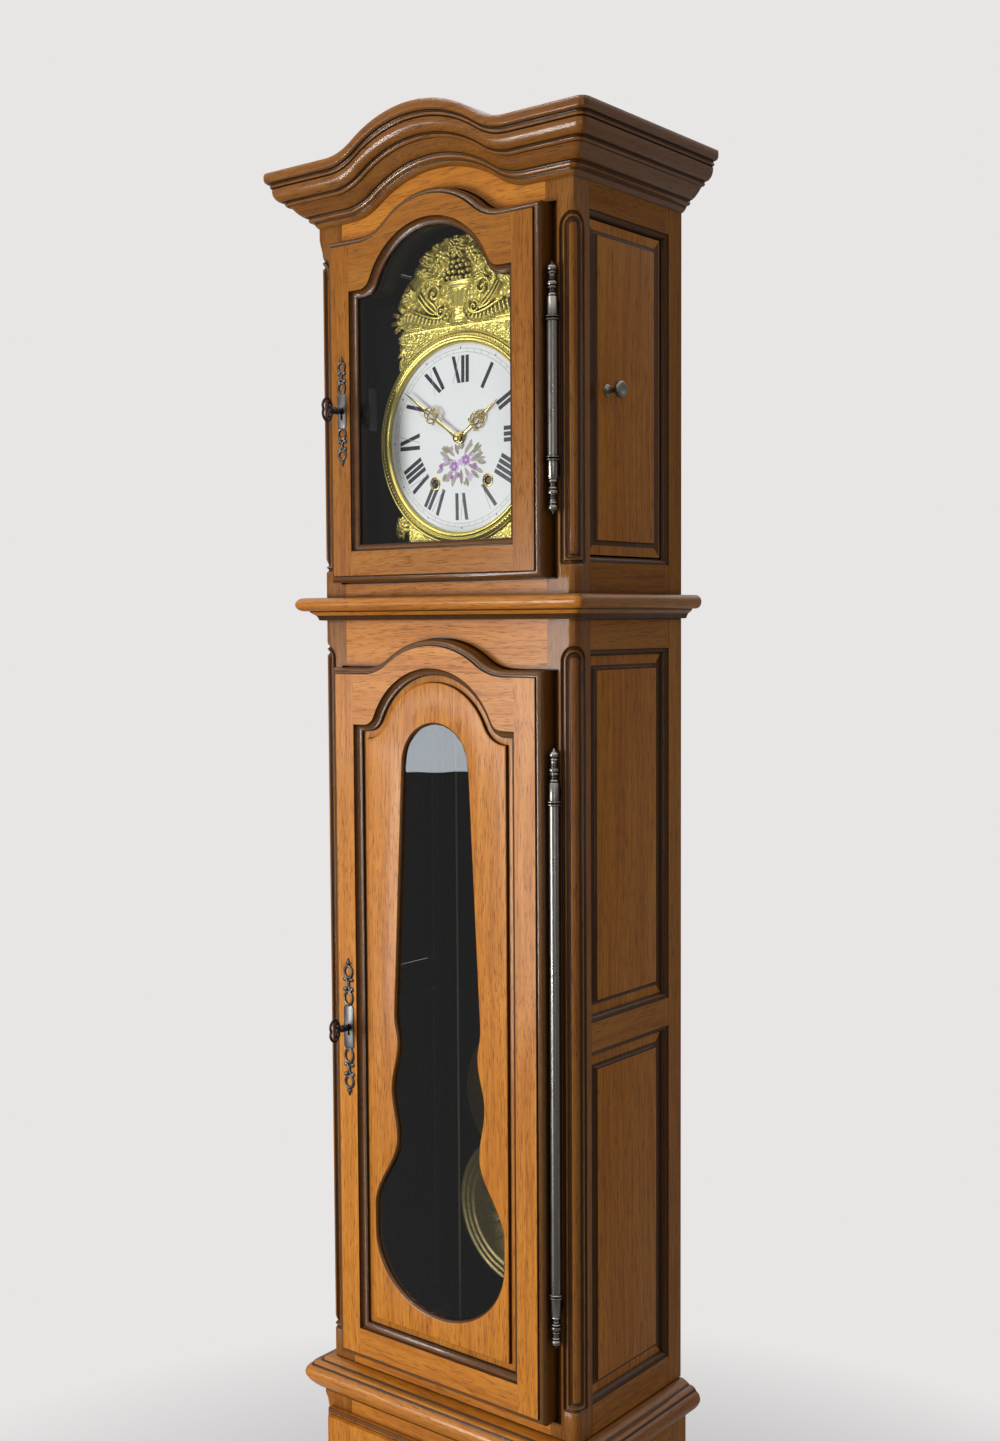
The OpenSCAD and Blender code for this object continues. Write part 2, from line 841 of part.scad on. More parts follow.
module trunk_door_frame() {
  color(oak) {
    difference() {
      union() {
        xz(fy - door_out, fy + door_in)
          trunk_face(0);
        xz(fy - door_out + 1.5, fy + door_in)
          trunk_face(0.5 * edge_w);
        xz(fy - door_out + 3.5, fy + door_in)
          trunk_face(0.85 * edge_w);
        xz(fy - door_out + 6, fy + door_in)
          trunk_face(edge_w);
      }
      xz(fy - 60, fy + 60)
        trunk_sight(0);
      xz(fy - 60, fy - door_out + 3)
        trunk_sight(8.5);
      xz(fy - 60, fy - door_out + 6)
        trunk_sight(4.5);
      xz(fy - door_out + 9, fy + 60)
        trunk_sight(7);
      xz(fy - 60, fy + 60)
        keyhole(trunk_key_z, 4);
    }
    difference() {
      xz(fy - 1, fy + door_in - 1)
        trunk_sight(7);
      xz(fy - 60, fy + 2)
        trunk_sight(-5.7);
      xz(fy - 60, fy + 60)
        trunk_sight(-12);
    }
  }
}

module trunk_door_panel() {
  color(oak)
    difference() {
      union() {
        xz(fy - door_out + 9, fy - 1)
          trunk_sight(6.7);
        xz(fy - door_out + 6.5, fy - door_out + 9)
          trunk_sight(-16);
      }
      xz(fy - 60, fy + 60)
        violin();
    }
}

module trunk_door_glass() {
  color(pane)
    xz(fy - 1, fy - 1 + glass_t)
      trunk_sight(-6);
}

// Dial

module dial_mask() {
  color(brass) {
    xz(dial_face - mask_t, dial_face)
      difference() {
        headed(sight_half + 18.5, dial_z - 140, hood_sight_z1 - 2, sight_s, sight_rise, sight_part, 0);
        translate([0, dial_z])
          circle(r = dial_r + 1, $fn = 96);
      }
    translate([0, dial_face - mask_t, dial_z])
      rotate([90, 0, 0])
        rotate_extrude($fn = 96)
          polygon([[dial_r + 1, 0], [dial_r + 14, 0], [dial_r + 14, 2], [dial_r + 10, 5], [dial_r + 5, 5.5],
            [dial_r + 2, 3]]);
  }
}

module dial() {
  color(enamel)
    xz(dial_face, dial_back)
      translate([0, dial_z])
        difference() {
          circle(r = dial_r + 8, $fn = 96);
          circle(r = 6, $fn = 48);
          for (s = [-1, 1])
            translate([s * wind_x, -wind_z])
              circle(r = 6.5, $fn = 48);
        }
}

// Pierced hand outline pointing up
module hand(len_, w, eye) {
  difference() {
    union() {
      circle(r = eye, $fn = 48);
      polygon([[-2.2, 0], [2.2, 0], [w * 0.5, len_ * 0.34], [w * 0.28, len_ * 0.5], [w * 0.44, len_ * 0.62],
        [1.4, len_ * 0.8], [0, len_], [-1.4, len_ * 0.8], [-w * 0.44, len_ * 0.62], [-w * 0.28, len_ * 0.5],
        [-w * 0.5, len_ * 0.34]]);
    }
    circle(r = arbor_r + 0.3, $fn = 48);
    translate([0, len_ * 0.34])
      circle(r = w * 0.24, $fn = 24);
    translate([0, len_ * 0.62])
      circle(r = w * 0.2, $fn = 24);
  }
}

hour_angle = -55;
minute_angle = 54;

module hour_hand() {
  color(brass)
    translate([0, 0, dial_z])
      xz(fy + 35.8, fy + 37.2)
        rotate(hour_angle)
          hand(72, 22, 7);
}

module hour_wheel() {
  color(brass)
    difference() {
      union() {
        wheel(0, dial_z, hour_n, hour_m, -90 + 180 / hour_n, 9, arbor_r + run_gap, fy + 47, fy + 49.5);
        bar_y(0, dial_z, 4.6, fy + 37.2, fy + 47);
      }
      bar_y(0, dial_z, arbor_r + run_gap, fy + 30, fy + 52);
    }
}

module minute_hand() {
  color(brass)
    translate([0, 0, dial_z]) {
      xz(fy + 31, fy + 32.4)
        rotate(minute_angle)
          union() {
            hand(104, 20, 6);
            circle(r = 5, $fn = 48);
          }
      bar_y(0, 0, 5, fy + 29, fy + 31);
    }
}

module centre_wheel() {
  color(brass) {
    bar_y(0, dial_z, arbor_r, fy + 32.4, strap_back + strap_t + 2);
    translate([0, 0, dial_z])
      xz(fy + 50, fy + 54)
        teeth(cannon_n, cannon_m, -90);
    translate([0, 0, dial_z])
      xz(fy + 62.5, fy + 70)
        teeth(leaf_n, great_m, great_a + 180 + 180 / leaf_n);
    wheel(0, dial_z, centre_n, centre_m, 90, 8, 1, fy + 100, fy + 103);
  }
}

module minute_wheel() {
  color(brass)
    difference() {
      union() {
        wheel(0, motion_z, minute_n, cannon_m, 90 + 180 / minute_n, 8, pintle_r, fy + 51, fy + 53);
        translate([0, 0, motion_z])
          xz(fy + 46.5, fy + 51)
            teeth(minute_leaf_n, hour_m, 90);
      }
      bar_y(0, motion_z, pintle_r + run_gap, fy + 40, fy + 60);
    }
}

// Great wheel on its drum's arbor; a is where its pinion lies
module great(x, a, y0, y1) {
  wheel(x, drum_z, great_n, great_m, a, 12, wind_r + run_gap, y0, y1);
}

module going_great_wheel() {
  color(brass)
    great(drum_x, great_a, fy + 64, fy + 68);
}

module strike_great_wheel() {
  color(brass)
    great(-drum_x, pin_a, fy + 73, fy + 77);
}

module pin_wheel() {
  color(brass) {
    bar_y(strike_x, strike_z, arbor_r, strap_front - 2, strap_back + strap_t + 2);
    translate([strike_x, 0, strike_z])
      xz(fy + 71.5, fy + 78.5)
        teeth(leaf_n, great_m, pin_a + 180 + 180 / leaf_n);
    translate([strike_x, 0, strike_z])
      xz(fy + 86, fy + 89)
        circle(r = 22, $fn = 64);
    for (i = [0 : 7])
      bar_y(strike_x + 18 * cos(45 * i), strike_z + 18 * sin(45 * i), 1.6, fy + 89, fy + 95);
  }
}

module escape_wheel() {
  n = 24;
  color(brass) {
    bar_y(0, escape_z, arbor_r, strap_front - 2, strap_back + strap_t + 2);
    translate([0, 0, escape_z])
      xz(fy + 98.5, fy + 104.5)
        teeth(escape_leaf_n, centre_m, -90 + 180 / escape_leaf_n);
    translate([0, 0, escape_z])
      xz(fy + 112, fy + 114.5)
        difference() {
          polygon([for (i = [0 : n - 1], k = [0, 1, 2])
            let (a = 360 / n * (i + [0, 0.18, 0.3][k]), d = [escape_r - 5, escape_r, escape_r - 5][k])
            [d * cos(a), d * sin(a)]]);
          difference() {
            circle(r = escape_r - 8, $fn = 48);
            circle(r = 7, $fn = 48);
            for (i = [0 : 3])
              rotate(90 * i)
                translate([0, -1.8])
                  square([escape_r, 3.6]);
          }
        }
  }
}

// Anchor with its pallets, arbor and crutch, on the pendulum's axis
module anchor() {
  color(iron) {
    bar_y(0, anchor_z, 2.5, strap_front - 2, fy + 153);
    translate([0, 0, anchor_z])
      xz(fy + 111, fy + 115.5)
        union() {
          circle(r = 6, $fn = 48);
          for (s = [-1, 1])
            polygon([[0, 4], [s * 20, -8], [s * 23, -14], [s * 20.4, -16.5], [s * 16, -9.5], [0, -4]]);
        }
    slab(-3, 3, fy + 150, fy + 153, anchor_z - 120, anchor_z);
    for (s = [-1, 1])
      slab(min(s * 6.6, s * 9), max(s * 6.6, s * 9), fy + 150, pend_y + 4, anchor_z - 126, anchor_z - 120);
    slab(-9, 9, fy + 150, fy + 153, anchor_z - 126, anchor_z - 120);
  }
}

module strap(x0, x1, y, holes) {
  difference() {
    slab(x0, x1, y, y + strap_t, z_seat + plate_t, z_seat + cage_h - plate_t);
    for (h = holes)
      bar_y(h[0], h[1], h[2] + run_gap, y - 1, y + strap_t + 1);
  }
}

module movement_cage() {
  centre_holes = [[0, dial_z, arbor_r], [0, escape_z, arbor_r], [0, anchor_z, 2.5]];
  left_holes = [[-drum_x, drum_z, wind_r], [strike_x, strike_z, arbor_r], [hammer_x, hammer_z, 2.5]];
  color(iron) {
    for (y = [strap_front, strap_back]) {
      strap(-strap_w / 2, strap_w / 2, y, centre_holes);
      strap(drum_x - strap_w / 2, drum_x + strap_w / 2, y, [[drum_x, drum_z, wind_r]]);
      strap(hammer_x - strap_w / 2, -drum_x + strap_w / 2, y, left_holes);
    }
    difference() {
      slab(-cage_half, cage_half, cage_y0, cage_y1, z_seat, z_seat + plate_t);
      for (s = [-1, 1])
        slab(s * cord_x - 6, s * cord_x + 6, weight_y - 26, weight_y + 26, z_seat - 1, z_seat + plate_t + 1);
    }
    slab(-cage_half, cage_half, cage_y0, cage_y1, z_seat + cage_h - plate_t, z_seat + cage_h);
    for (sx = [-1, 1], y = [cage_y0 + 2, cage_y1 - 10])
      slab(sx * (cage_half - 6) - 4, sx * (cage_half - 6) + 4, y, y + 8,
        z_seat + plate_t, z_seat + cage_h - plate_t);
    bar_y(0, motion_z, pintle_r, fy + 46, strap_front);
    for (x = [-drum_x - 7, drum_x], z = [dial_z + 60, dial_z - 100])
      bar_y(x, z, 3, dial_back, strap_front);
    slab(-7, 7, cage_y1, pend_y + 14, z_seat + cage_h - plate_t, z_seat + cage_h);
    slab(-7, 7, pend_y + 10, pend_y + 14, anchor_z - 6, z_seat + cage_h - plate_t);
    bar_y(0, anchor_z, 2, pend_y - 7, pend_y + 10);
  }
}

// Post that carries the bell
module bell_stand() {
  color(iron)
    translate([0, bell_y, z_seat + cage_h])
      rotate_extrude($fn = 48)
        polygon([[0, 0], [10, 0], [10, 3], [4.5, 6], [4.5, 40], [9, 40], [9, bell_up], [4, bell_up],
          [4, bell_up + 12], [0, bell_up + 14]]);
}

module bell() {
  z0 = z_seat + cage_h + bell_up;
  color(brass)
    translate([0, bell_y, z0])
      rotate_extrude($fn = 96)
        polygon([[4.3, 0], [10, 0], [20, -1.5], [38, -7], [50, -17], [56, -29], [bell_r - 3, -40],
          [bell_r, -40], [bell_r - 1, -30], [54, -15], [41, -3.5], [21, 2.5], [4.3, 4]]);
}

module hammer() {
  y0 = fy + 147;
  z1 = z_seat + cage_h + 10;
  color(iron) {
    bar_y(hammer_x, hammer_z, 2.5, strap_front - 2, y0 + 4);
    slab(hammer_x - 3, hammer_x + 3, y0, y0 + 4, hammer_z, z1);
    translate([hammer_x - 19, y0 + 2, z1])
      rotate([0, 90, 0])
        cylinder(r = 7, h = 22, $fn = 48);
    bar_y(hammer_x, hammer_z, 5, fy + 97, fy + 104);
    slab(hammer_x - 2.5, hammer_x + 2.5, fy + 97.5, fy + 103.5, hammer_z - 24, hammer_z);
  }
}

// Winding drum with its arbor and flanges
module drum(x) {
  bar_y(x, drum_z, wind_r, fy + 42, strap_back + strap_t + 3);
  bar_y(x, drum_z, drum_r, weight_y - 23, weight_y + 23);
  for (y = [weight_y - 23, weight_y + 20])
    bar_y(x, drum_z, drum_r + 6, y, y + 3);
}

module going_drum() {
  color(iron)
    drum(drum_x);
}

module strike_drum() {
  color(iron)
    drum(-drum_x);
}

// Cord from the drum's side down to a weight's hook
module cord(s) {
  translate([s * cord_x, weight_y, weight_z + weight_h + hook_h])
    cylinder(r = cord_r, h = drum_z - weight_z - weight_h - hook_h, $fn = 32);
}

module going_cord() {
  color(hemp)
    cord(1);
}

module strike_cord() {
  color(hemp)
    cord(-1);
}

module weight(s) {
  r = weight_r;
  translate([s * cord_x, weight_y, weight_z])
    rotate_extrude($fn = 96)
      polygon([[0, 0], [r - 3, 0], [r, 3], [r, weight_h - 14], [r - 5, weight_h - 4], [r - 14, weight_h],
        [4, weight_h], [3, weight_h + 4], [3, weight_h + hook_h - 12], [6, weight_h + hook_h - 9],
        [6, weight_h + hook_h - 3],
        [3, weight_h + hook_h], [0, weight_h + hook_h]]);
}

module going_weight() {
  color(iron)
    weight(1);
}

module strike_weight() {
  color(iron)
    weight(-1);
}

// Pendulum

module pendulum_rod() {
  color(iron)
    difference() {
      union() {
        slab(-6, 6, pend_y - 2, pend_y + 2, bob_z + bob_r - 6, anchor_z - 6);
        bar_y(0, anchor_z, 8, pend_y - 2, pend_y + 2);
      }
      bar_y(0, anchor_z, 2 + run_gap, pend_y - 20, pend_y + 20);
    }
}

module pendulum_bob() {
  color(brass)
    difference() {
      translate([0, pend_y, bob_z])
        rotate([90, 0, 0])
          rotate_extrude($fn = 96)
            polygon(concat([[0, -11]],
              [for (i = [1 : 8]) [bob_r * i / 8, -11 + 9.5 * i * i / 64]],
              [for (i = [8 : -1 : 1]) [bob_r * i / 8, 11 - 9.5 * i * i / 64]],
              [[0, 11]]));
      slab(-6, 6, pend_y - 2, pend_y + 2, bob_z + bob_r - 6, bob_z + bob_r + 2);
    }
}

module pendulum_plate() {
  color(brass)
    xz(pend_y - 3.5, pend_y - 2)
      difference() {
        union() {
          translate([0, bob_z + 1.44 * bob_r])
            circle(r = bob_r - 6, $fn = 96);
          translate([0, bob_z + 2.79 * bob_r])
            circle(r = 0.6 * bob_r, $fn = 64);
          translate([0, bob_z])
            polygon(bob_r * [[-0.25, 3.17], [0.25, 3.17], [0.135, 4.13], [0, 4.52], [-0.135, 4.13]]);
        }
        translate([0, bob_z])
          circle(r = bob_r + 0.6, $fn = 96);
        for (s = [-1, 1])
          translate([0.29 * s * bob_r, bob_z + 2.81 * bob_r])
            circle(r = 0.144 * bob_r, $fn = 32);
      }
}

base_floor();
base_frame();
base_panels();
plinth();
base_moulding();
trunk_front_frame();
trunk_side_frames();
trunk_side_panels();
waist_moulding();
hood_front_frame();
hood_side_frames();
cornice();
roof_board();
back_board();
seat_board();
case_pintles();
dial_mask();
dial();
movement_cage();
bell_stand();
bell();
trunk_door_frame();
trunk_door_panel();
trunk_door_glass();
trunk_hinge_barrel();
trunk_escutcheon();
trunk_lock();
trunk_bolt();
trunk_key();
hood_door_frame();
hood_door_glass();
hood_hinge_barrel();
hood_escutcheon();
hood_lock();
hood_bolt();
hood_key();
side_door_left();
side_knob_left();
side_door_right();
side_knob_right();
hour_hand();
hour_wheel();
minute_hand();
centre_wheel();
minute_wheel();
going_great_wheel();
escape_wheel();
anchor();
strike_great_wheel();
pin_wheel();
hammer();
going_drum();
strike_drum();
going_cord();
strike_cord();
going_weight();
strike_weight();
pendulum_rod();
pendulum_bob();
pendulum_plate();
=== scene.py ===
"""Looks of a comtoise longcase clock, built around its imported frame."""

import math
import random

import bmesh
import bpy
import numpy as np
from mathutils import Matrix, Vector


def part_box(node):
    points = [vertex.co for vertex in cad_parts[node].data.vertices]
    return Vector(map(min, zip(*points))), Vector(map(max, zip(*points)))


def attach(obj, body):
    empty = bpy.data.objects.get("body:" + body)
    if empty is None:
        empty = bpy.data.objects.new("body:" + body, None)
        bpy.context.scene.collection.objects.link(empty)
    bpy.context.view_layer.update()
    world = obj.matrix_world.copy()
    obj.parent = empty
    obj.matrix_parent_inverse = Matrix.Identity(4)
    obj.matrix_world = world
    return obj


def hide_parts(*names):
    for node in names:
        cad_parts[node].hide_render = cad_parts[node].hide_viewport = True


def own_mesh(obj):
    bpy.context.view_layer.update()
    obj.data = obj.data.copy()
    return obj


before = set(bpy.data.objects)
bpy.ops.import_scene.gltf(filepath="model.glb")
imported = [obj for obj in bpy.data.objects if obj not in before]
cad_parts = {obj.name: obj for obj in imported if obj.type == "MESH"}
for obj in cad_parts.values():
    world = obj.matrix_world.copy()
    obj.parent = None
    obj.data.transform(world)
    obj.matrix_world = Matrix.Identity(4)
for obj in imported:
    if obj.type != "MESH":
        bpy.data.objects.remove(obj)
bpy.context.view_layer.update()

MM = 0.001


# Sizes from the frame, in millimetres

def box_mm(node):
    low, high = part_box(node)
    return [c / MM for c in low], [c / MM for c in high]


trunk_low, trunk_high = box_mm("trunk_front_frame")
hood_low, hood_high = box_mm("hood_side_frames")
cornice_low, cornice_high = box_mm("cornice")
door_low, door_high = box_mm("trunk_door_frame")
dial_low, dial_high = box_mm("dial")
hinge_low, hinge_high = box_mm("hood_hinge_barrel")
HW = trunk_high[0]
FRONT = trunk_low[1]
BACK = hood_high[1]
POST_D = trunk_high[1] - FRONT
POST_BACK = FRONT + POST_D
POST_IN = HW - 40
INNER = HW - 20
REAR_IN = BACK - 36
Z_BASE = box_mm("base_frame")[1][2]
Z_TRUNK = trunk_low[2]
Z_WAIST = trunk_high[2]
Z_HOOD = hood_low[2]
Z_TOP = hood_high[2]
Z_CORN = cornice_low[2]
CORNER_R = 10
DOOR_FRONT = door_low[1]
DOOR_T = door_high[1] - DOOR_FRONT
EDGE_W = 7.7
REBATE = EDGE_W + 1.8
DOOR_HALF = door_high[0] - EDGE_W
SIGHT_HALF = HW - 80.5
DIAL_Z = (dial_low[2] + dial_high[2]) / 2
DIAL_FACE = dial_low[1]
COLLAR_R = 8.2
HINGE_X = hinge_high[0] - COLLAR_R
HINGE_Y = hinge_low[1] + COLLAR_R
KEY_X = -141.2

# Ogee heads: half span, rise and the crown's part of the curve
ARCH_HEAD = (POST_IN - 20, cornice_high[2] - Z_TOP, 0.68)
SIGHT_HEAD = (SIGHT_HALF - 9.5, 72, 0.78)
# Doors: foot, shoulders and head of the face; sights: foot and shoulders of the opening
HOOD_DOOR = (Z_HOOD + 26.5, Z_CORN - 31, (DOOR_HALF - 47, 41, 0.62))
TRUNK_DOOR = (Z_TRUNK + 27, Z_WAIST - 67, (DOOR_HALF - 47, 36, 0.62))
HOOD_SIGHT = (HOOD_DOOR[0] + 39.5, HOOD_DOOR[1] - 66)
TRUNK_SIGHT = (TRUNK_DOOR[0] + 43, TRUNK_DOOR[1] - 72)
HOOD_KEY_Z = HOOD_DOOR[0] + 205
TRUNK_KEY_Z = TRUNK_DOOR[0] + 425


# Outlines

def full_turn(n):
    """n angles around a circle."""
    return np.linspace(0, 2 * math.pi, n, endpoint=False)


def quarter_turn(n):
    return np.linspace(0, math.pi / 2, n)


def tangents(p, closed):
    """Unit tangents along a path."""
    t = np.roll(p, -1, 0) - np.roll(p, 1, 0) if closed else np.gradient(p, axis=0)
    return t / np.linalg.norm(t, axis=1)[:, None]


def ogee_arcs(span, rise, part):
    """Turn of an ogee's arcs and the radii of its crown and its shoulders."""
    t = 2 * math.atan(rise / span)
    total = span / math.sin(t)
    return t, part * total, (1 - part) * total


def ogee(span, rise, part, z0, off=0.0, n=14):
    """Points of an ogee head from right to left, moved outwards by off."""
    t, crown, shoulder = ogee_arcs(span, rise, part)
    rc, rs = crown + off, shoulder - off
    zc, zs = z0 + rise - crown, z0 + shoulder
    turn = [t * i / n for i in range(n)]
    right = [(span - rs * math.sin(a), zs - rs * math.cos(a)) for a in turn]
    right += [(rc * math.sin(t - a), zc + rc * math.cos(t - a)) for a in turn]
    return right + [(0.0, zc + rc)] + mirrored(right)


def ogee_height(x, span, rise, part):
    """Height of an ogee above its shoulders at x."""
    t, rc, rs = ogee_arcs(span, rise, part)
    x = abs(x)
    if x <= rc * math.sin(t):
        return rise - rc + math.sqrt(rc * rc - x * x)
    if x < span:
        return rs - math.sqrt(max(rs * rs - (span - x) ** 2, 0))
    return 0.0


def mirrored(points):
    """Points of the left half, in the order that goes on from the right half."""
    return [(-x, z) for x, z in reversed(points)]


def headed(w, z0, z1, head, off):
    """A closed outline with an ogee head, moved outwards by off."""
    side = [(w + off, z0 - off), (w + off, z1 + off)]
    return side + ogee(*head, z1, off) + mirrored(side)


def door_face(door, off):
    return headed(DOOR_HALF, *door, off)


def door_sight(sight, off):
    return headed(SIGHT_HALF, *sight, SIGHT_HEAD, off)


def arch(x):
    return ogee_height(x, *ARCH_HEAD)


VIOLIN_Z = TRUNK_SIGHT[0] + 37
VIOLIN_BOWL = (101, 88)
VIOLIN_WAIST = ((101, 120), (63, 214), (71.5, 275), (61, 334), (66, 370))
VIOLIN_HEAD = (50, 685)


def eased(a, b, t):
    return a + (b - a) * (1 - math.cos(math.pi * t)) / 2


def violin(n=14):
    """Outline of the violin opening, anticlockwise from the bottom."""
    steps = np.linspace(0, 1, n + 1)[:-1]
    wide, tall = VIOLIN_BOWL
    neck_w, neck_h = VIOLIN_WAIST[-1]
    r, head_h = VIOLIN_HEAD
    right = [(wide * math.sin(a), tall - tall * math.cos(a)) for a in quarter_turn(n + 1)]
    for (w0, h0), (w1, h1) in zip(VIOLIN_WAIST, VIOLIN_WAIST[1:]):
        right += [(eased(w0, w1, t), h0 + (h1 - h0) * t) for t in steps]
    right += [(neck_w + (r - neck_w) * t, neck_h + (head_h - neck_h) * t) for t in steps]
    right += [(r * math.cos(a), head_h + r * math.sin(a)) for a in quarter_turn(n + 1)]
    return [(x, VIOLIN_Z + h) for x, h in right + mirrored(right[1:-1])]


def offset(points, d):
    """A closed smooth outline moved outwards by d."""
    p = np.array(points, float)
    t = tangents(p, True)
    normal = np.stack([t[:, 1], -t[:, 0]], 1)
    area = np.sum(p[:, 0] * np.roll(p[:, 1], -1) - np.roll(p[:, 0], -1) * p[:, 1])
    return [tuple(q) for q in p + normal * (d if area > 0 else -d)]


def at_y(points, y):
    return [(x, y, z) for x, z in points]


def upright(x, y, base, up=1):
    return lambda u, v, h: (x + u, y + v, base + up * h)


def along_y(x, z):
    return lambda u, v, h: (x + u, h, z + v)


# Mesh building, in millimetres

EASE = 0.7
END_EASE = 0.3
TINY_R = 0.01
SEAM = 2e-6


class Shape:
    """A mesh under construction, with a material number for each face."""

    def __init__(self):
        self.verts = []
        self.faces = []
        self.mats = []

    def add(self, verts, faces, mat=0):
        start = len(self.verts)
        self.verts += [tuple(v) for v in verts]
        self.faces += [[start + i for i in f] for f in faces]
        self.mats += mat if isinstance(mat, list) else [mat] * len(faces)

    def loft(self, rings, mats=0, closed=True, loop=False, caps=False):
        """Skins rings that have the same number of points; mats is one number or a list for the spans."""
        n, count = len(rings[0]), len(rings)
        faces = [[i, (i + 1) % n, n + (i + 1) % n, n + i] for i in range(n if closed else n - 1)]
        for k in range(count if loop else count - 1):
            mat = mats[k] if isinstance(mats, list) else mats
            self.add(list(rings[k]) + list(rings[(k + 1) % count]), faces, mat)
        if caps:
            ends = np.hstack(mats) if isinstance(mats, list) else [mats]
            for end in (0, -1):
                self.add(rings[end], [list(range(n))], int(ends[end]))

    def fill(self, outer, inner, mat=0):
        """A flat face between an outline and a hole in it."""
        bm = bmesh.new()
        edges = []
        for ring in (outer, inner):
            vs = [bm.verts.new(p) for p in ring]
            edges += [bm.edges.new((vs[i], vs[(i + 1) % len(vs)])) for i in range(len(vs))]
        bmesh.ops.triangle_fill(bm, edges=edges, use_beauty=True)
        bm.verts.index_update()
        self.add([v.co for v in bm.verts], [[v.index for v in f.verts] for f in bm.faces], mat)
        bm.free()

    def prism(self, outline, y0, y1):
        """A flat X-Z outline drawn out along Y."""
        self.loft([at_y(outline, y0), at_y(outline, y1)], caps=True)

    def board(self, low, high, mat=0):
        """A board with its long edges eased."""
        rings = []
        for z, inset in ((low[2], EASE), (low[2] + EASE, 0), (high[2] - EASE, 0), (high[2], EASE)):
            x0, x1 = low[0] + inset, high[0] - inset
            y0, y1 = low[1] + inset, high[1] - inset
            c = END_EASE if inset else EASE
            rings.append([(x0 + c, y0, z), (x1 - c, y0, z), (x1, y0 + c, z), (x1, y1 - c, z),
                          (x1 - c, y1, z), (x0 + c, y1, z), (x0, y1 - c, z), (x0, y0 + c, z)])
        self.loft(rings, mat, caps=True)

    def lathe(self, profile, place, segments=48, ring=False):
        """Turns (radius, height) points; place maps (across, across, along) to a point; a ring closes."""
        rings = []
        for r, h in profile:
            r = max(r, TINY_R)
            rings.append([place(r * math.cos(a), r * math.sin(a), h) for a in full_turn(segments)])
        self.loft(rings, loop=ring, caps=not ring)

    def tube(self, path, radius, closed=False, sides=10):
        """A round tube along a path; radius is one number or one for each point."""
        p = np.array(path, float)
        radii = np.broadcast_to(np.array(radius, float), (len(p),))
        up = np.eye(3)[int(np.argmin(p.max(0) - p.min(0)))]
        rings = []
        for q, t, r in zip(p, tangents(p, closed), radii):
            side = np.cross(t, up)
            side /= np.linalg.norm(side) or 1
            over = np.cross(side, t)
            rings.append([q + r * (math.cos(a) * side + math.sin(a) * over) for a in full_turn(sides)])
        self.loft(rings, loop=closed, caps=not closed)

    def bead(self, centre, radii, rings=7, segments=14):
        """A small flattened ball."""
        (x, y, z), (rx, ry, rz) = centre, radii
        profile = [(math.cos(a), math.sin(a)) for a in np.linspace(-math.pi / 2, math.pi / 2, rings)]
        self.lathe(profile, lambda u, v, h: (x + u * rx, y + h * ry, z + v * rz), segments)

    def mesh(self, name, materials=()):
        """The mesh in metres, with its seams joined and its faces turned outwards."""
        mesh = bpy.data.meshes.new(name)
        mesh.from_pydata([(x * MM, y * MM, z * MM) for x, y, z in self.verts], [], self.faces)
        for material in materials:
            mesh.materials.append(material)
        mesh.polygons.foreach_set("material_index", self.mats)
        bm = bmesh.new()
        bm.from_mesh(mesh)
        bmesh.ops.remove_doubles(bm, verts=bm.verts, dist=SEAM)
        bmesh.ops.recalc_face_normals(bm, faces=bm.faces)
        bm.to_mesh(mesh)
        bm.free()
        return mesh

    def make(self, name, materials, body, slot, stands_for=(), sharp=38):
        """A smooth object that rides a body and stands for CAD nodes."""
        mesh = self.mesh(name, materials)
        mesh.polygons.foreach_set("use_smooth", [True] * len(mesh.polygons))
        mesh.set_sharp_from_angle(angle=math.radians(sharp))
        obj = bpy.data.objects.new(name, mesh)
        bpy.context.scene.collection.objects.link(obj)
        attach(obj, body)
        if stands_for:
            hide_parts(*stands_for)
        return obj


# Materials

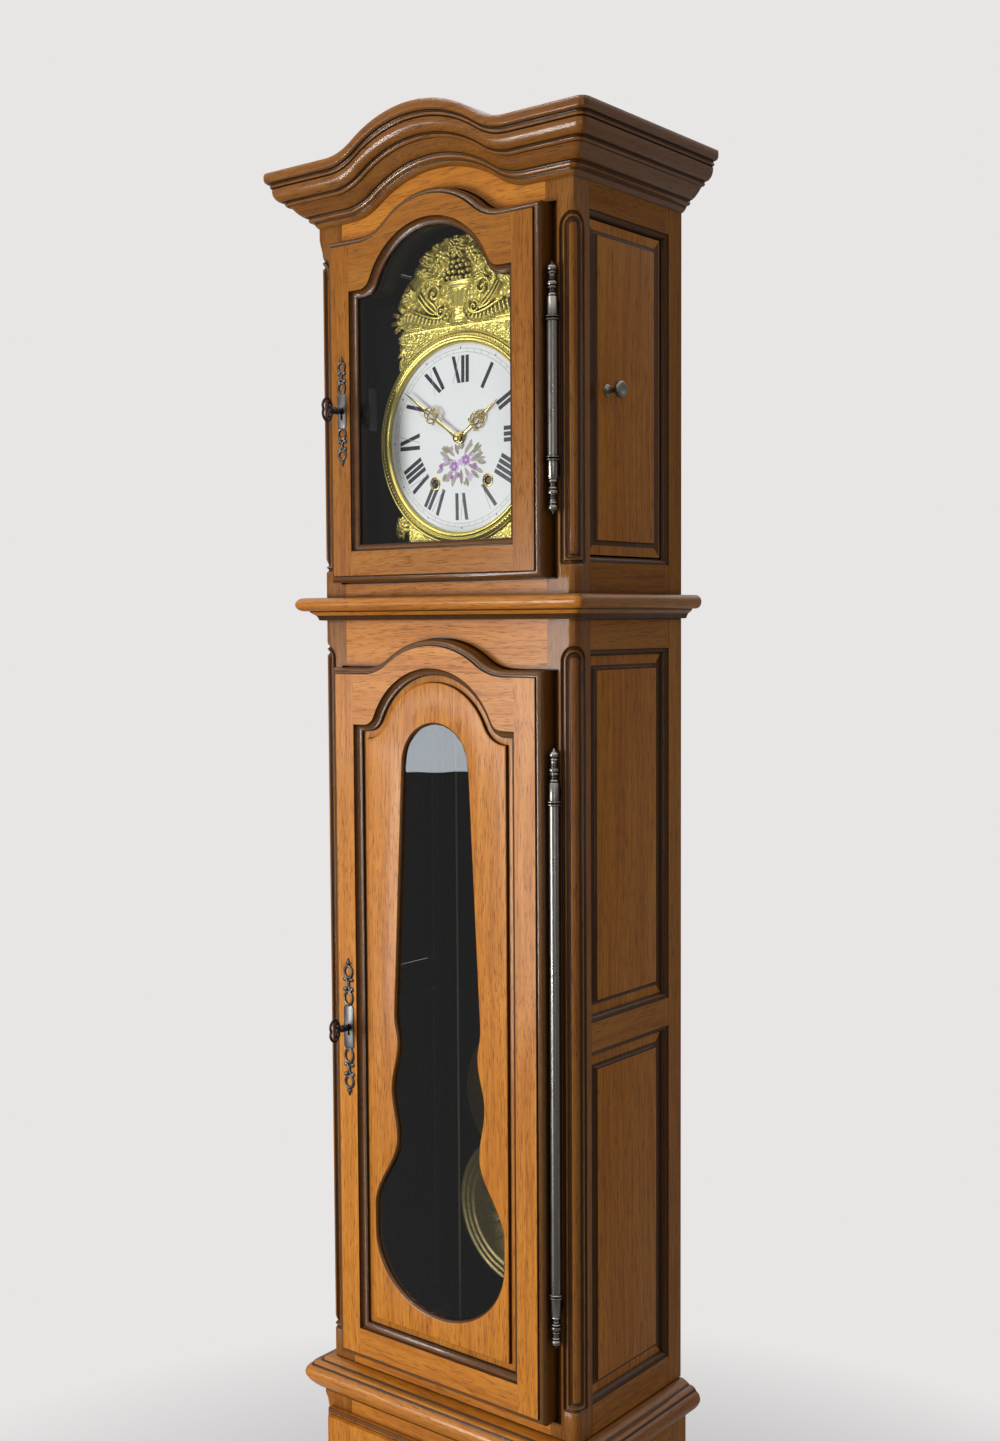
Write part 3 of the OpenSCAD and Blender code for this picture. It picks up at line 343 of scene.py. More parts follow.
class Graph:
    """A node tree under construction; its inputs take sockets, numbers or colours."""

    def __init__(self, tree):
        self.tree = tree

    def feed(self, socket, value):
        if isinstance(value, bpy.types.NodeSocket):
            self.tree.links.new(value, socket)
        elif socket.type == "RGBA":
            socket.default_value = (*value, 1)
        else:
            socket.default_value = value

    def add(self, kind, inputs=(), **properties):
        """Adds a node, with its inputs in order or by name."""
        made = self.tree.nodes.new("ShaderNode" + kind)
        for key, value in properties.items():
            setattr(made, key, value)
        for key, value in inputs.items() if isinstance(inputs, dict) else enumerate(inputs):
            self.feed(made.inputs[key], value)
        return made

    def math(self, operation, *values):
        return self.add("Math", values, operation=operation).outputs[0]

    def sum(self, *shares):
        """A sum of sockets, each times its share."""
        total, *others = [self.math("MULTIPLY", socket, share) for socket, share in shares]
        for part in others:
            total = self.math("ADD", total, part)
        return total

    def ramp(self, factor, *stops):
        made = self.add("ValToRGB", [factor])
        elements = made.color_ramp.elements
        while len(elements) < len(stops):
            elements.new(0.5)
        for element, (position, colour) in zip(elements, stops):
            element.position = position
            element.color = (*colour, 1)
        return made.outputs[0]

    def grey(self, factor, low, high, a=0.0, b=1.0):
        return self.ramp(factor, (low, (a, a, a)), (high, (b, b, b)))

    def mix(self, factor, a, b, blend="MIX"):
        made = self.add("Mix", {0: factor, 6: a, 7: b}, data_type="RGBA", blend_type=blend)
        return made.outputs[2]

    def noise(self, vector, scale, detail, roughness=0.55):
        inputs = {"Vector": vector, "Scale": scale, "Detail": detail, "Roughness": roughness}
        return self.add("TexNoise", inputs).outputs["Fac"]

    def scaled(self, vector, sizes):
        return self.add("VectorMath", [vector, sizes], operation="MULTIPLY").outputs[0]

    def place(self):
        return self.add("TexCoord").outputs["Object"]

    def parts(self, vector):
        return self.add("SeparateXYZ", [vector]).outputs

    def corner_shade_mask(self, distance, low, high):
        """Ambient occlusion for painted shade in corners: 0 deep in a corner, 1 on an open face."""
        made = self.add("AmbientOcclusion", {"Distance": distance}, samples=6)
        return self.grey(made.outputs["AO"], low, high)


class Look(Graph):
    """A material around one Principled shader."""

    def __init__(self, name):
        self.material = bpy.data.materials.new(name)
        self.material.use_nodes = True
        super().__init__(self.material.node_tree)
        self.shader = self.tree.nodes["Principled BSDF"]

    def dress(self, inputs):
        for key, value in inputs.items():
            self.feed(self.shader.inputs[key], value)

    def bump(self, height, distance, strength):
        made = self.add("Bump", {"Height": height, "Distance": distance, "Strength": strength})
        self.feed(self.shader.inputs["Normal"], made.outputs[0])


def dim(colour, by):
    return tuple(c * by for c in colour)


GRAIN_AXES = {"x": (2, 1, 0), "y": (2, 0, 1), "z": (0, 1, 2)}
SWAY = (0.03, 0.03, 0.0)
# Painted shade: the share of brightness kept on a moulding's side runs.
PAINTED_SIDE_SHADE = 0.62
OAK = ((0.36, 0.109, 0.009), (0.50, 0.172, 0.016), (0.595, 0.232, 0.028))


def side_runs(look):
    """1 on the runs of a moulding along the case's sides, where oak() darkens the colour as painted shade.
    """
    x, y, _ = look.parts(look.place())
    reach = look.math("ADD", look.math("ABSOLUTE", x), y)
    return look.math("GREATER_THAN", reach, (HW + FRONT) * MM)


def inner_faces(look, half, start, stop=2 * BACK):
    """1 inside the case, where oak() paints the colour nearly black as painted shade: nearer the middle
    than half, and between two depths.
    """
    x, y, _ = look.parts(look.place())
    across = look.math("LESS_THAN", look.math("ABSOLUTE", x), half * MM)
    behind = look.math("GREATER_THAN", y, start * MM)
    before = look.math("LESS_THAN", y, stop * MM)
    return look.math("MULTIPLY", across, look.math("MULTIPLY", behind, before))


def grain_vector(look, rails, mitre):
    """Coordinates with the grain along their last axis; it turns on rails and on a moulding's side runs."""
    parts = look.parts(look.place())

    def turned(axis):
        return look.add("CombineXYZ", [parts[i] for i in GRAIN_AXES[axis]]).outputs[0]

    if mitre:
        test, along, other = side_runs(look), "x", "y"
    elif rails:
        axis, low, high, other = rails
        away = look.math("ABSOLUTE", look.math("SUBTRACT", parts[axis], (low + high) / 2 * MM))
        test, along = look.math("LESS_THAN", away, (high - low) / 2 * MM), "z"
    else:
        return turned("z")
    return look.add("Mix", {0: test, 4: turned(along), 5: turned(other)}, data_type="VECTOR").outputs[1]


def figure(look, straight):
    """The grain's colour factor, and its streaks, pores and rays, along a slightly swaying vector."""
    sway = look.add("TexNoise", {"Vector": straight, "Scale": 3.0, "Detail": 1.0}).outputs["Color"]
    vector = look.add("VectorMath", [sway, SWAY, straight], operation="MULTIPLY_ADD").outputs[0]

    def layer(sizes, detail, roughness=0.55):
        return look.noise(look.scaled(vector, sizes), 1.0, detail, roughness)

    broad = layer((26, 26, 1.6), 2.0)
    streaks = layer((210, 210, 5), 5.0, 0.62)
    pores = look.grey(layer((1000, 1000, 48), 2.0), 0.34, 0.44)
    rays = look.grey(layer((260, 900, 34), 1.0), 0.62, 0.72)
    bands = {"Vector": look.scaled(vector, (1, 1, 0.16)), "Scale": 9.0, "Distortion": 9.0, "Detail": 2.0,
             "Detail Scale": 0.5}
    wave = look.add("TexWave", bands, wave_type="BANDS", bands_direction="X").outputs["Fac"]
    return look.sum((streaks, 0.62), (broad, 0.38), (wave, 0.07)), streaks, pores, rays


def oak(name, rails=None, mitre=False, tone=1.0, shine=0.15, stain_and_shade=0.0, gloss=0.16, inside=None,
        wax_and_shade=(0.014, 0.32, 0.82)):
    """Waxed oak: streaked grain, open pores, rays, dark wax with painted shade in the corners, and painted
    shade on side runs and inner faces.
    """
    look = Look(name)
    grain, streaks, pores, rays = figure(look, grain_vector(look, rails, mitre))
    dark, mid, light = [dim(colour, tone) for colour in OAK]
    colour = look.ramp(grain, (0.36, dark), (0.52, mid), (0.70, light))
    in_pores = look.math("MULTIPLY", look.math("SUBTRACT", 1.0, pores), 0.72)
    colour = look.mix(in_pores, colour, dim(dark, 0.38))
    colour = look.mix(look.math("MULTIPLY", rays, 0.22), colour, light)
    # Dark wax and painted shade where the corners are occluded.
    colour = look.mix(look.corner_shade_mask(*wax_and_shade), dim(mid, 0.20 - 0.08 * stain_and_shade), colour)
    # Stain and painted shade darken the whole surface.
    if stain_and_shade:
        colour = look.mix(stain_and_shade, colour, dim(mid, 0.22))
    # Painted shade on a moulding's side runs.
    if mitre:
        colour = look.mix(side_runs(look), colour, (PAINTED_SIDE_SHADE, PAINTED_SIDE_SHADE, PAINTED_SIDE_SHADE), "MULTIPLY")
    # Painted shade: faces inside the case go nearly black.
    if inside:
        colour = look.mix(inner_faces(look, *inside), colour, dim(mid, 0.015))
    look.dress({"Base Color": colour, "Roughness": look.grey(streaks, 0.3, 0.8, 0.50, 0.34),
                "Specular IOR Level": gloss, "Coat Weight": shine, "Coat Roughness": 0.16})
    look.bump(look.sum((pores, 0.7), (streaks, 0.6)), 0.00022, 0.8)
    return look.material


def metal(name, colour, deep, rough, scratch=0.5, reach=0.006, low=0.25, high=0.85, bare=1.0):
    """Aged metal: tarnish and painted shade in the hollows, and fine rubbing marks."""
    look = Look(name)
    place = look.place()
    cloud = look.noise(place, 38.0, 4.0)
    fine = look.noise(look.scaled(place, (900, 900, 300)), 1.0, 3.0)
    worn = look.mix(look.grey(cloud, 0.35, 0.75), colour, dim(colour, 0.74))
    # The deep colour in occluded hollows is tarnish and painted shade.
    look.dress({"Base Color": look.mix(look.corner_shade_mask(reach, low, high), deep, worn), "Metallic": bare,
                "Roughness": look.grey(cloud, 0.3, 0.8, rough * 0.8, rough * 1.35)})
    look.bump(fine, 0.00008, scratch)
    return look.material


def plain(name, colour, rough, vary=0.2, scale=60.0, depth=0.00008, coat=0.0, gloss=0.5):
    """A painted, glazed or woven surface with slight mottling."""
    look = Look(name)
    cloud = look.noise(look.place(), scale, 4.0)
    bright = tuple(min(c, 1) for c in dim(colour, 1 + vary))
    look.dress({"Base Color": look.mix(cloud, dim(colour, 1 - vary), bright),
                "Roughness": look.grey(cloud, 0.3, 0.8, rough * 0.85, rough * 1.2),
                "Specular IOR Level": gloss, "Coat Weight": coat, "Coat Roughness": 0.06})
    look.bump(cloud, depth, 0.6)
    return look.material


PANE_TINT = (0.97, 0.99, 0.985)
PANE_IOR = 1.46


def glass(name):
    """Clear window glass with slight waves; it casts no dark shadow."""
    look = Look(name)
    look.dress({"Base Color": PANE_TINT, "Transmission Weight": 1.0, "Roughness": 0.0, "IOR": PANE_IOR})
    look.bump(look.noise(look.place(), 9.0, 1.0), 0.0006, 0.25)
    shadow = look.add("LightPath").outputs["Is Shadow Ray"]
    empty = look.add("BsdfTransparent").outputs[0]
    both = look.add("MixShader", [shadow, look.shader.outputs[0], empty])
    look.feed(look.tree.nodes["Material Output"].inputs["Surface"], both.outputs[0])
    return look.material


# Where faces inside the case get painted shade: half width, and the depth where it starts.
SHADED_INSIDE = (INNER + 5, FRONT)
SHADED_POST_INSIDE = (POST_IN + 0.5, FRONT + 2)
DOOR_RAILS = (0, -SIGHT_HALF - 8.5, SIGHT_HALF + 8.5, "x")
SIDE_RAILS = (1, POST_BACK, REAR_IN, "y")
OAK_DOOR = oak("oak_door", DOOR_RAILS)
# The hood door's oak is toned darker than the trunk door's, partly as painted shade for the dimmer light on
# the hood.
OAK_HOOD_DOOR = oak("oak_hood_door", DOOR_RAILS, tone=0.66)
OAK_FRONT = oak("oak_front", (0, -POST_IN, POST_IN, "x"), tone=0.98, inside=SHADED_POST_INSIDE)
# The posts are toned dark, partly for stain and partly as painted shade.
OAK_POST = oak("oak_post", tone=0.46, shine=0.2, inside=SHADED_POST_INSIDE, wax_and_shade=(0.006, 0.5, 0.93))
OAK_PANEL = oak("oak_panel")
# The side oaks are toned darker than the front's, partly as painted shade for the sides turned from the key
# lamp.
OAK_SIDE = oak("oak_side", SIDE_RAILS, tone=0.62, shine=0.05, gloss=0.15, inside=SHADED_INSIDE)
OAK_HOOD_SIDE = oak("oak_hood_side", SIDE_RAILS, tone=0.5, shine=0.05, gloss=0.08, inside=SHADED_INSIDE)
OAK_SIDE_PANEL = oak("oak_side_panel", tone=0.78, shine=0.05, gloss=0.15, inside=SHADED_INSIDE)
OAK_MOULD = oak("oak_mould", mitre=True, tone=0.92, shine=0.3)
# The cornice is toned to half the other mouldings, as painted shade for the dimmer light at the top.
OAK_CORNICE = oak("oak_cornice", mitre=True, tone=0.46, shine=0.5)
# Edges and lips are toned very dark, partly for stain and partly as painted shade.
OAK_EDGE = oak("oak_edge", DOOR_RAILS, tone=0.25, shine=0.5)
OAK_LIP = oak("oak_lip", tone=0.2, shine=0.5)
# Stain and painted shade for grooves, quirks, lips and shaded edges.
OAK_STAIN_AND_SHADE = oak("oak_stain_and_shade", tone=0.2, stain_and_shade=0.5)
# The back board's inner face is painted nearly black as painted shade.
OAK_BACK = oak("oak_back", tone=0.5, shine=0.0, gloss=0.1, inside=(HW, FRONT, BACK - 1))
# Boards and faces inside the case: oak painted nearly black as painted shade.
OAK_SHADED_INSIDE = oak("oak_shaded_inside", tone=0.02, shine=0.0, gloss=0.03)
BRASS = metal("brass", (0.95, 0.79, 0.21), (0.03, 0.023, 0.005), 0.2, low=0.4, high=0.9, bare=0.74)
BRASS_STIPPLED = metal("stippled_brass", (0.86, 0.71, 0.18), (0.04, 0.03, 0.008), 0.2, reach=0.005, low=0.4,
                       high=0.95, bare=0.74)
BRASS_PLAIN = metal("brass_wheels", (0.70, 0.52, 0.20), (0.16, 0.10, 0.03), 0.3)
BRASS_PLATE = metal("brass_plate", (0.46, 0.36, 0.13), (0.12, 0.09, 0.03), 0.4, bare=0.85)
BRASS_BOB = metal("brass_bob", (0.78, 0.65, 0.28), (0.12, 0.09, 0.03), 0.36, bare=0.6)
BRASS_HAND = metal("brass_hands", (0.68, 0.52, 0.20), (0.12, 0.08, 0.02), 0.22, reach=0.002)
PEWTER = metal("pewter", (0.27, 0.25, 0.225), (0.02, 0.017, 0.015), 0.3, reach=0.005, low=0.4, high=0.95)
DARK_STEEL = metal("dark_steel", (0.11, 0.105, 0.098), (0.012, 0.011, 0.01), 0.32, reach=0.004)
PLATE = metal("plate_steel", (0.15, 0.15, 0.147), (0.03, 0.028, 0.026), 0.45, reach=0.004)
KNOB = metal("knob_metal", (0.20, 0.185, 0.15), (0.03, 0.026, 0.02), 0.4, scratch=0.8)
IRON = metal("black_iron", (0.045, 0.043, 0.045), (0.008, 0.008, 0.008), 0.42)
CAST = metal("cast_iron", (0.085, 0.083, 0.085), (0.02, 0.02, 0.02), 0.55, scratch=0.9)
ENAMEL = plain("enamel", (0.80, 0.80, 0.795), 0.22, 0.03, 24.0, depth=0.00005, coat=0.15, gloss=0.3)
INK = plain("dial_ink", (0.018, 0.02, 0.03), 0.3, 0.2, 400.0)
FAINT_INK = plain("track_ink", (0.30, 0.32, 0.35), 0.35, 0.2, 400.0)
VIOLET = plain("violet_petals", (0.30, 0.11, 0.36), 0.35, 0.4, 500.0)
LILAC = plain("lilac_petals", (0.55, 0.40, 0.62), 0.35, 0.25, 500.0)
OLIVE = plain("olive_leaves", (0.24, 0.23, 0.15), 0.35, 0.35, 500.0)
GREY_LEAF = plain("grey_leaves", (0.36, 0.31, 0.28), 0.35, 0.3, 500.0)
# Painted shade: the near-black board behind the mask.
SHADE_BLACK = plain("shade_black_board", (0.008, 0.0078, 0.008), 0.6, 0.3, 90.0, gloss=0.1)
HEMP = plain("hemp", (0.16, 0.12, 0.07), 0.8, 0.3, 900.0, depth=0.0003)
PANE = glass("pane")


# Case: posts, rails and side frames

LAYER = 8
SQUARE_R = 1.0
REBATE_POINTS = 8
KEEPER_Y = (FRONT + 11.0, FRONT + 17.2)
KEEPER_Z = (10.0, 22.0)
KEEPER_DEPTH = 11.0
GROOVE_W = (16.2, 8.4)
GROOVE_STEP = 7.0
GROOVE_DEPTH = 3.0
GROOVE_HALF = (2.6, 3.6)
DARKENED_DEPTH = 0.22 * GROOVE_DEPTH
HALF_ARC = CORNER_R * math.pi / 4
POST_U = np.concatenate([np.linspace(-20, -19, 2), np.linspace(-18.6, -5.6, 36), np.linspace(-5, 5, 9),
                         np.linspace(5.6, 18.6, 36), np.linspace(19, 26, 3)])
FRONT_OAK = [OAK_FRONT, OAK_POST, OAK_STAIN_AND_SHADE]


def groove(u, z, za, zb):
    """Depth of the two nested grooves, arched at the top and square at the foot."""
    depth = 0.0
    middle = zb - GROOVE_W[0]
    for i, w in enumerate(GROOVE_W):
        foot = za + GROOVE_STEP * i
        if z > middle:
            away = abs(math.hypot(u, z - middle) - w)
        elif abs(u) > w:
            away = math.hypot(abs(u) - w, max(foot - z, 0))
        elif z < foot:
            away = foot - z
        else:
            away = min(w - abs(u), z - foot)
        depth = max(depth, GROOVE_DEPTH * max(0.0, 1 - (away / GROOVE_HALF[i]) ** 2))
    return depth


def post_ring(side, z, za, zb, rebate, square, notch):
    """One level of a post: bolt mortise, rebate, grooved front, rounded corner and grooved side."""
    reach, low, high = rebate
    near, far = KEEPER_Y
    sunk = FRONT + LAYER if low < z < high else FRONT
    radius = CORNER_R * (1 - square) + SQUARE_R * square
    ring = [(POST_IN, POST_BACK), (POST_IN, far), (POST_IN + notch, far), (POST_IN + notch, near),
            (POST_IN, near), (POST_IN, sunk), (reach, sunk), (reach, FRONT)]
    for u in POST_U:
        a = min(max((u + HALF_ARC) / CORNER_R, 0), math.pi / 2)
        out = radius - groove(u, z, za, zb)
        x = HW - radius + out * math.sin(a) + min(u + HALF_ARC, 0)
        y = FRONT + radius - out * math.cos(a) + max(u - HALF_ARC, 0)
        ring.append((x, y))
    ring.append((HW, POST_BACK))
    return [(side * x, y, z) for x, y in ring]


def groove_stain_and_shade(i, z, za, zb):
    """2, stain and painted shade, where the face after point i of a post's ring lies in a groove."""
    at = i - REBATE_POINTS
    if not 0 <= at < len(POST_U) - 1:
        return 1
    u = (POST_U[at] + POST_U[at + 1]) / 2
    return 2 if groove(u, z, za, zb) > DARKENED_DEPTH else 1


def post(shape, side, levels, door, key_z, square_top):
    """A post; levels are its foot, the grooves' foot and top, and its own top."""
    z0, za, zb, z1 = levels
    reach = HINGE_X + 0.5 if side > 0 else DOOR_HALF + REBATE
    rebate = (reach, door[0] - REBATE, door[1] + REBATE)
    keeper = (key_z + KEEPER_Z[0], key_z + KEEPER_Z[1])
    rows = [z0, z0 + 5, za - 4]
    rows += list(np.arange(za - 2, za + 10, 0.6))
    rows += list(np.linspace(za + 14, zb - GROOVE_W[0] - 2, 14))
    rows += list(np.arange(zb - GROOVE_W[0] - 1, zb + 2.5, 0.6))
    rows += [zb + 5, zb + 9, zb + 14, zb + 19, zb + 25, z1]
    for edge in rebate[1:] + keeper:
        rows += [edge - 0.01, edge + 0.01]
    rows = sorted(rows)
    rings = []
    for z in rows:
        square = min(max((z - zb - 8) / 16, 0), 1) if square_top else 0
        notch = KEEPER_DEPTH if side < 0 and keeper[0] < z < keeper[1] else 0
        rings.append(post_ring(side, z, za, zb, rebate, square, notch))
    mats = []
    for low, high in zip(rows, rows[1:]):
        mats.append([groove_stain_and_shade(i, (low + high) / 2, za, zb) for i in range(len(rings[0]))])
    shape.loft(rings, mats, caps=True)


def front_rail(shape, outline_front, outline_back):
    """A rail in two layers, the front one cut out for the door."""
    shape.prism(outline_front, FRONT, FRONT + LAYER)
    shape.prism(outline_back, FRONT + LAYER, POST_BACK)


def rect(x, z0, z1):
    return [(x, z0), (x, z1), (-x, z1), (-x, z0)]


def door_head(door, x):
    """The lower edge of a top rail, above a door, from left to right."""
    _, z, head = door
    return [(-x, z + REBATE)] + ogee(*head, z, REBATE)[::-1] + [(x, z + REBATE)]


def front_frame(levels, door, key_z, sill, square_top):
    """Two posts and the bottom rail between them."""
    shape = Shape()
    for side in (-1, 1):
        post(shape, side, levels, door, key_z, square_top)
    front_rail(shape, rect(POST_IN, levels[0], door[0] - REBATE), rect(POST_IN, levels[0], door[0] + sill))
    return shape


def make_trunk_front():
    levels = (Z_TRUNK, Z_TRUNK + 38, Z_WAIST - 33, Z_WAIST)
    shape = front_frame(levels, TRUNK_DOOR, TRUNK_KEY_Z, 22, False)
    top = [(POST_IN, Z_WAIST), (-POST_IN, Z_WAIST)] + door_head(TRUNK_DOOR, POST_IN)
    front_rail(shape, top, rect(POST_IN, TRUNK_SIGHT[1] + 44, Z_WAIST))
    shape.make("trunk_front", FRONT_OAK, "case", "oak", ["trunk_front_frame"])


def make_hood_front():
    levels = (Z_HOOD, Z_HOOD + 36, Z_CORN - 37, Z_TOP)
    shape = front_frame(levels, HOOD_DOOR, HOOD_KEY_Z, 23, True)
    crown = [(POST_IN, Z_TOP)] + ogee(*ARCH_HEAD, Z_TOP) + [(-POST_IN, Z_TOP)]
    low, shoulder, w = HOOD_SIGHT[1] - 10, HOOD_SIGHT[1] + 8, SIGHT_HALF + 28
    opening = ogee(*SIGHT_HEAD, HOOD_SIGHT[1], 8)[::-1]
    back = [(POST_IN, low)] + crown + [(-POST_IN, low), (-w, low), (-w, shoulder)]
    back += opening + [(w, shoulder), (w, low)]
    front_rail(shape, crown + door_head(HOOD_DOOR, POST_IN), back)
    shape.make("hood_front", FRONT_OAK, "case", "oak", ["hood_front_frame"])


LIP = 6.5
LIP_STEPS = ((LIP, 0), (LIP - 0.5, 1.3), (LIP - 2.2, 1.7), (LIP - 4.0, 2.9), (LIP - 5.4, 4.8),
             (LIP - 6.0, 6.6), (0, 7.0))
FIELD_MARGIN = 17
SIDE_OAK = [OAK_SIDE, OAK_STAIN_AND_SHADE]
PANEL_OAK = [OAK_SIDE_PANEL, OAK_STAIN_AND_SHADE]
TRUNK_LEVELS = [(Z_TRUNK, Z_TRUNK + 44), (Z_TRUNK + 455, Z_TRUNK + 504), (Z_WAIST - 43, Z_WAIST)]
HOOD_LEVELS = [(Z_HOOD, Z_HOOD + 43.5), (Z_CORN - 36, Z_TOP)]


def side_rect(s, x, span, off):
    """A rectangle in the plane of a side, grown by off."""
    y0, y1, z0, z1 = span
    return [(s * x, y, z) for y, z in ((y0 - off, z0 - off), (y1 + off, z0 - off), (y1 + off, z1 + off),
                                       (y0 - off, z1 + off))]


def side_board(shape, s, face, y0, y1, z0, z1):
    left, right = sorted((s * INNER, s * face))
    shape.board((left, y0, z0), (right, y1, z1))


def side_frame(shape, s, face, front, levels):
    """A rear stile, rails and moulded lips darkened with stain and painted shade; levels are the edges of
    the rails, from the foot up.
    """
    side_board(shape, s, face, REAR_IN + LIP, BACK, levels[0][0], levels[-1][1])
    for i, (z0, z1) in enumerate(levels):
        low = z0 if i == 0 else z0 + LIP
        high = z1 if i == len(levels) - 1 else z1 - LIP
        side_board(shape, s, face, front, REAR_IN + LIP, low, high)
    for (_, z0), (z1, _) in zip(levels, levels[1:]):
        steps = [(off, face - deep) for off, deep in LIP_STEPS] + [(0, INNER)]
        shape.loft([side_rect(s, x, (front, REAR_IN, z0, z1), off) for off, x in steps], 1)


def raised_panel(shape, s, back, flat, field, span, margin=FIELD_MARGIN):
    """A panel with a flat margin and a raised field; the field's edge and the margin's two upright sides
    are darkened with stain and painted shade.
    """
    edge = [(6.0, flat), (3.4, flat + 0.4), (1.6, flat + 1.6)]
    edge += [(0.6, field - 1.2), (0, field - 0.3), (-1.0, field)]
    steps = [(0, back), (0, flat)] + [(off - margin, x) for off, x in edge]
    rings = [side_rect(s, x, span, off) for off, x in steps]
    shape.loft(rings, [0, [0, 1, 0, 1], 1, 1, 1, 1, 0], caps=True)


def make_sides():
    trunk, hood, panels = Shape(), Shape(), Shape()
    for s in (-1, 1):
        side_frame(trunk, s, HW, POST_BACK, TRUNK_LEVELS)
        side_frame(hood, s, HW, POST_BACK, HOOD_LEVELS)
        for (_, z0), (z1, _) in zip(TRUNK_LEVELS, TRUNK_LEVELS[1:]):
            raised_panel(panels, s, INNER + 4, INNER + 12, INNER + 17, (POST_BACK, REAR_IN, z0, z1))
    trunk.make("trunk_sides", SIDE_OAK, "case", "oak", ["trunk_side_frames"])
    hood.make("hood_sides", [OAK_HOOD_SIDE, OAK_STAIN_AND_SHADE], "case", "oak", ["hood_side_frames"])
    panels.make("trunk_panels", PANEL_OAK, "case", "oak", ["trunk_side_panels"])


PIVOT_X, PIVOT_Y, PIVOT_R = INNER + 9, REAR_IN - 7, 5
SIDE_PIN = 12.0


def make_side_door(s, name, stands_for):
    """A hood side door: a leaf with a round pivot edge and a raised field."""
    shape = Shape()
    x0, x1, y0, c = INNER + 4, INNER + 14, POST_BACK + 2, 0.6
    z0, z1 = HOOD_LEVELS[0][1] + 2, HOOD_LEVELS[1][0] - 2
    outline = [(x0, y0 + c), (x0 + c, y0), (x1 - c, y0), (x1, y0 + c)]
    for a in np.linspace(math.pi / 2, -math.pi / 2, 13):
        outline.append((PIVOT_X + PIVOT_R * math.sin(a), PIVOT_Y + PIVOT_R * math.cos(a)))
    shape.loft([[(s * x, y, z) for x, y in outline] for z in (z0, z1)], caps=True)
    raised_panel(shape, s, x1 - 1, x1 + 0.02, x1 + 4, (y0 + 1, PIVOT_Y, z0 + 1, z1 - 1), 16)
    shape.make(name + "_leaf", PANEL_OAK, name, "oak", [stands_for])


BASE_STEP = 7.5
BASE_W, BASE_FRONT = HW + BASE_STEP, FRONT - BASE_STEP
BASE_ROUND = 12.0
BASE_ROUNDS = ((0, 1), (100, 1), (112, 8), (122, BASE_ROUND), (Z_BASE - 24, BASE_ROUND), (Z_BASE - 12, 8),
               (Z_BASE - 4, 1), (Z_BASE, 1))
BASE_LEVELS = [(0, 130), (Z_BASE - 60, Z_BASE)]
BASE_RAILS = ((0, 150), (Z_BASE - 60, Z_BASE))
BASE_FIELD = [(0, 0, 0), (0, 7.2, 2), (-0.7, 8.6, 2), (-2.0, 9.6, 2), (-4.2, 10.0, 0), (-5.4, 10.0, 1),
              (-5.8, 9.4, 1), (-6.2, 10.2, 0), (-6.6, 15.2, 0), (-7.2, 16.2, 0), (-8.6, 16.5, 0)]


def base_post(shape, s):
    """A corner of the base, rounded between its two ends."""
    rings = []
    rear = BASE_FRONT + POST_D
    for z, r in BASE_ROUNDS:
        outline = [(POST_IN, BASE_FRONT)]
        for t in quarter_turn(7):
            outline.append((BASE_W - r + r * math.sin(t), BASE_FRONT + r - r * math.cos(t)))
        outline += [(BASE_W, rear), (POST_IN, rear)]
        rings.append([(s * x, y, z) for x, y in outline])
    shape.loft(rings, caps=True)


def make_base():
    case, panels = Shape(), Shape()
    rear = BASE_FRONT + POST_D
    for s in (-1, 1):
        base_post(case, s)
        side_frame(case, s, BASE_W, rear, BASE_LEVELS)
        span = (rear, REAR_IN, BASE_LEVELS[0][1], BASE_LEVELS[1][0])
        raised_panel(panels, s, INNER + 6, INNER + 18, INNER + 23, span)
    for z0, z1 in BASE_RAILS:
        case.board((-POST_IN, BASE_FRONT, z0), (POST_IN, rear, z1), 2)
    case.make("base_case", SIDE_OAK + [OAK_FRONT], "case", "oak", ["base_frame"])
    rings = []
    for off, out, _ in BASE_FIELD:
        outline = rect(BASE_W - BASE_ROUND - 1 + off, 118 - off, Z_BASE - 18 + off)
        rings.append(at_y(outline, BASE_FRONT - out))
    panels.loft(rings, [mat for _, _, mat in BASE_FIELD[:-1]], caps=True)
    panels.make("base_front_panels", [OAK_PANEL, OAK_STAIN_AND_SHADE, OAK_EDGE], "case", "oak", ["base_panels"])


# Mouldings: how far out, how high, and 1 where the next face is darkened with stain and painted shade

MITRE_R = 10.0
RUN_POINTS = 81
CORNICE_H = 68
CORNICE = [
    (0, 0, 0), (3, 1.6, 0), (6.2, 5.2, 1), (7.0, 7.4, 0), (9.8, 7.8, 0), (11.8, 8.8, 0), (12.4, 10.4, 0),
    (11.7, 12.0, 1), (12.2, 13.4, 1), (15.2, 14.2, 0), (18.4, 16.2, 0), (21.6, 19.0, 0), (24.6, 22.4, 0),
    (27, 25.8, 0), (28.8, 27.2, 1), (31.4, 27.4, 0), (32.8, 28.6, 0), (33.4, 30.0, 0), (32.6, 31.4, 1),
    (33.2, 32.4, 1), (36.5, 32.8, 0), (39.4, 34.2, 0), (42.0, 37.0, 0), (43.8, 40.5, 0), (44.6, 44.5, 0),
    (44.6, 47.6, 1), (43.8, 48.8, 1), (45.8, 49.6, 0), (46.6, 51, 0), (46.2, 52.4, 0), (45.0, 53.4, 1),
    (45.6, 54.6, 1), (49.0, 55.2, 0), (51.2, 57, 0), (52, 60, 0), (52, 64.5, 0), (51.5, 66.8, 0),
    (49.5, CORNICE_H, 0), (0, CORNICE_H, 0)]
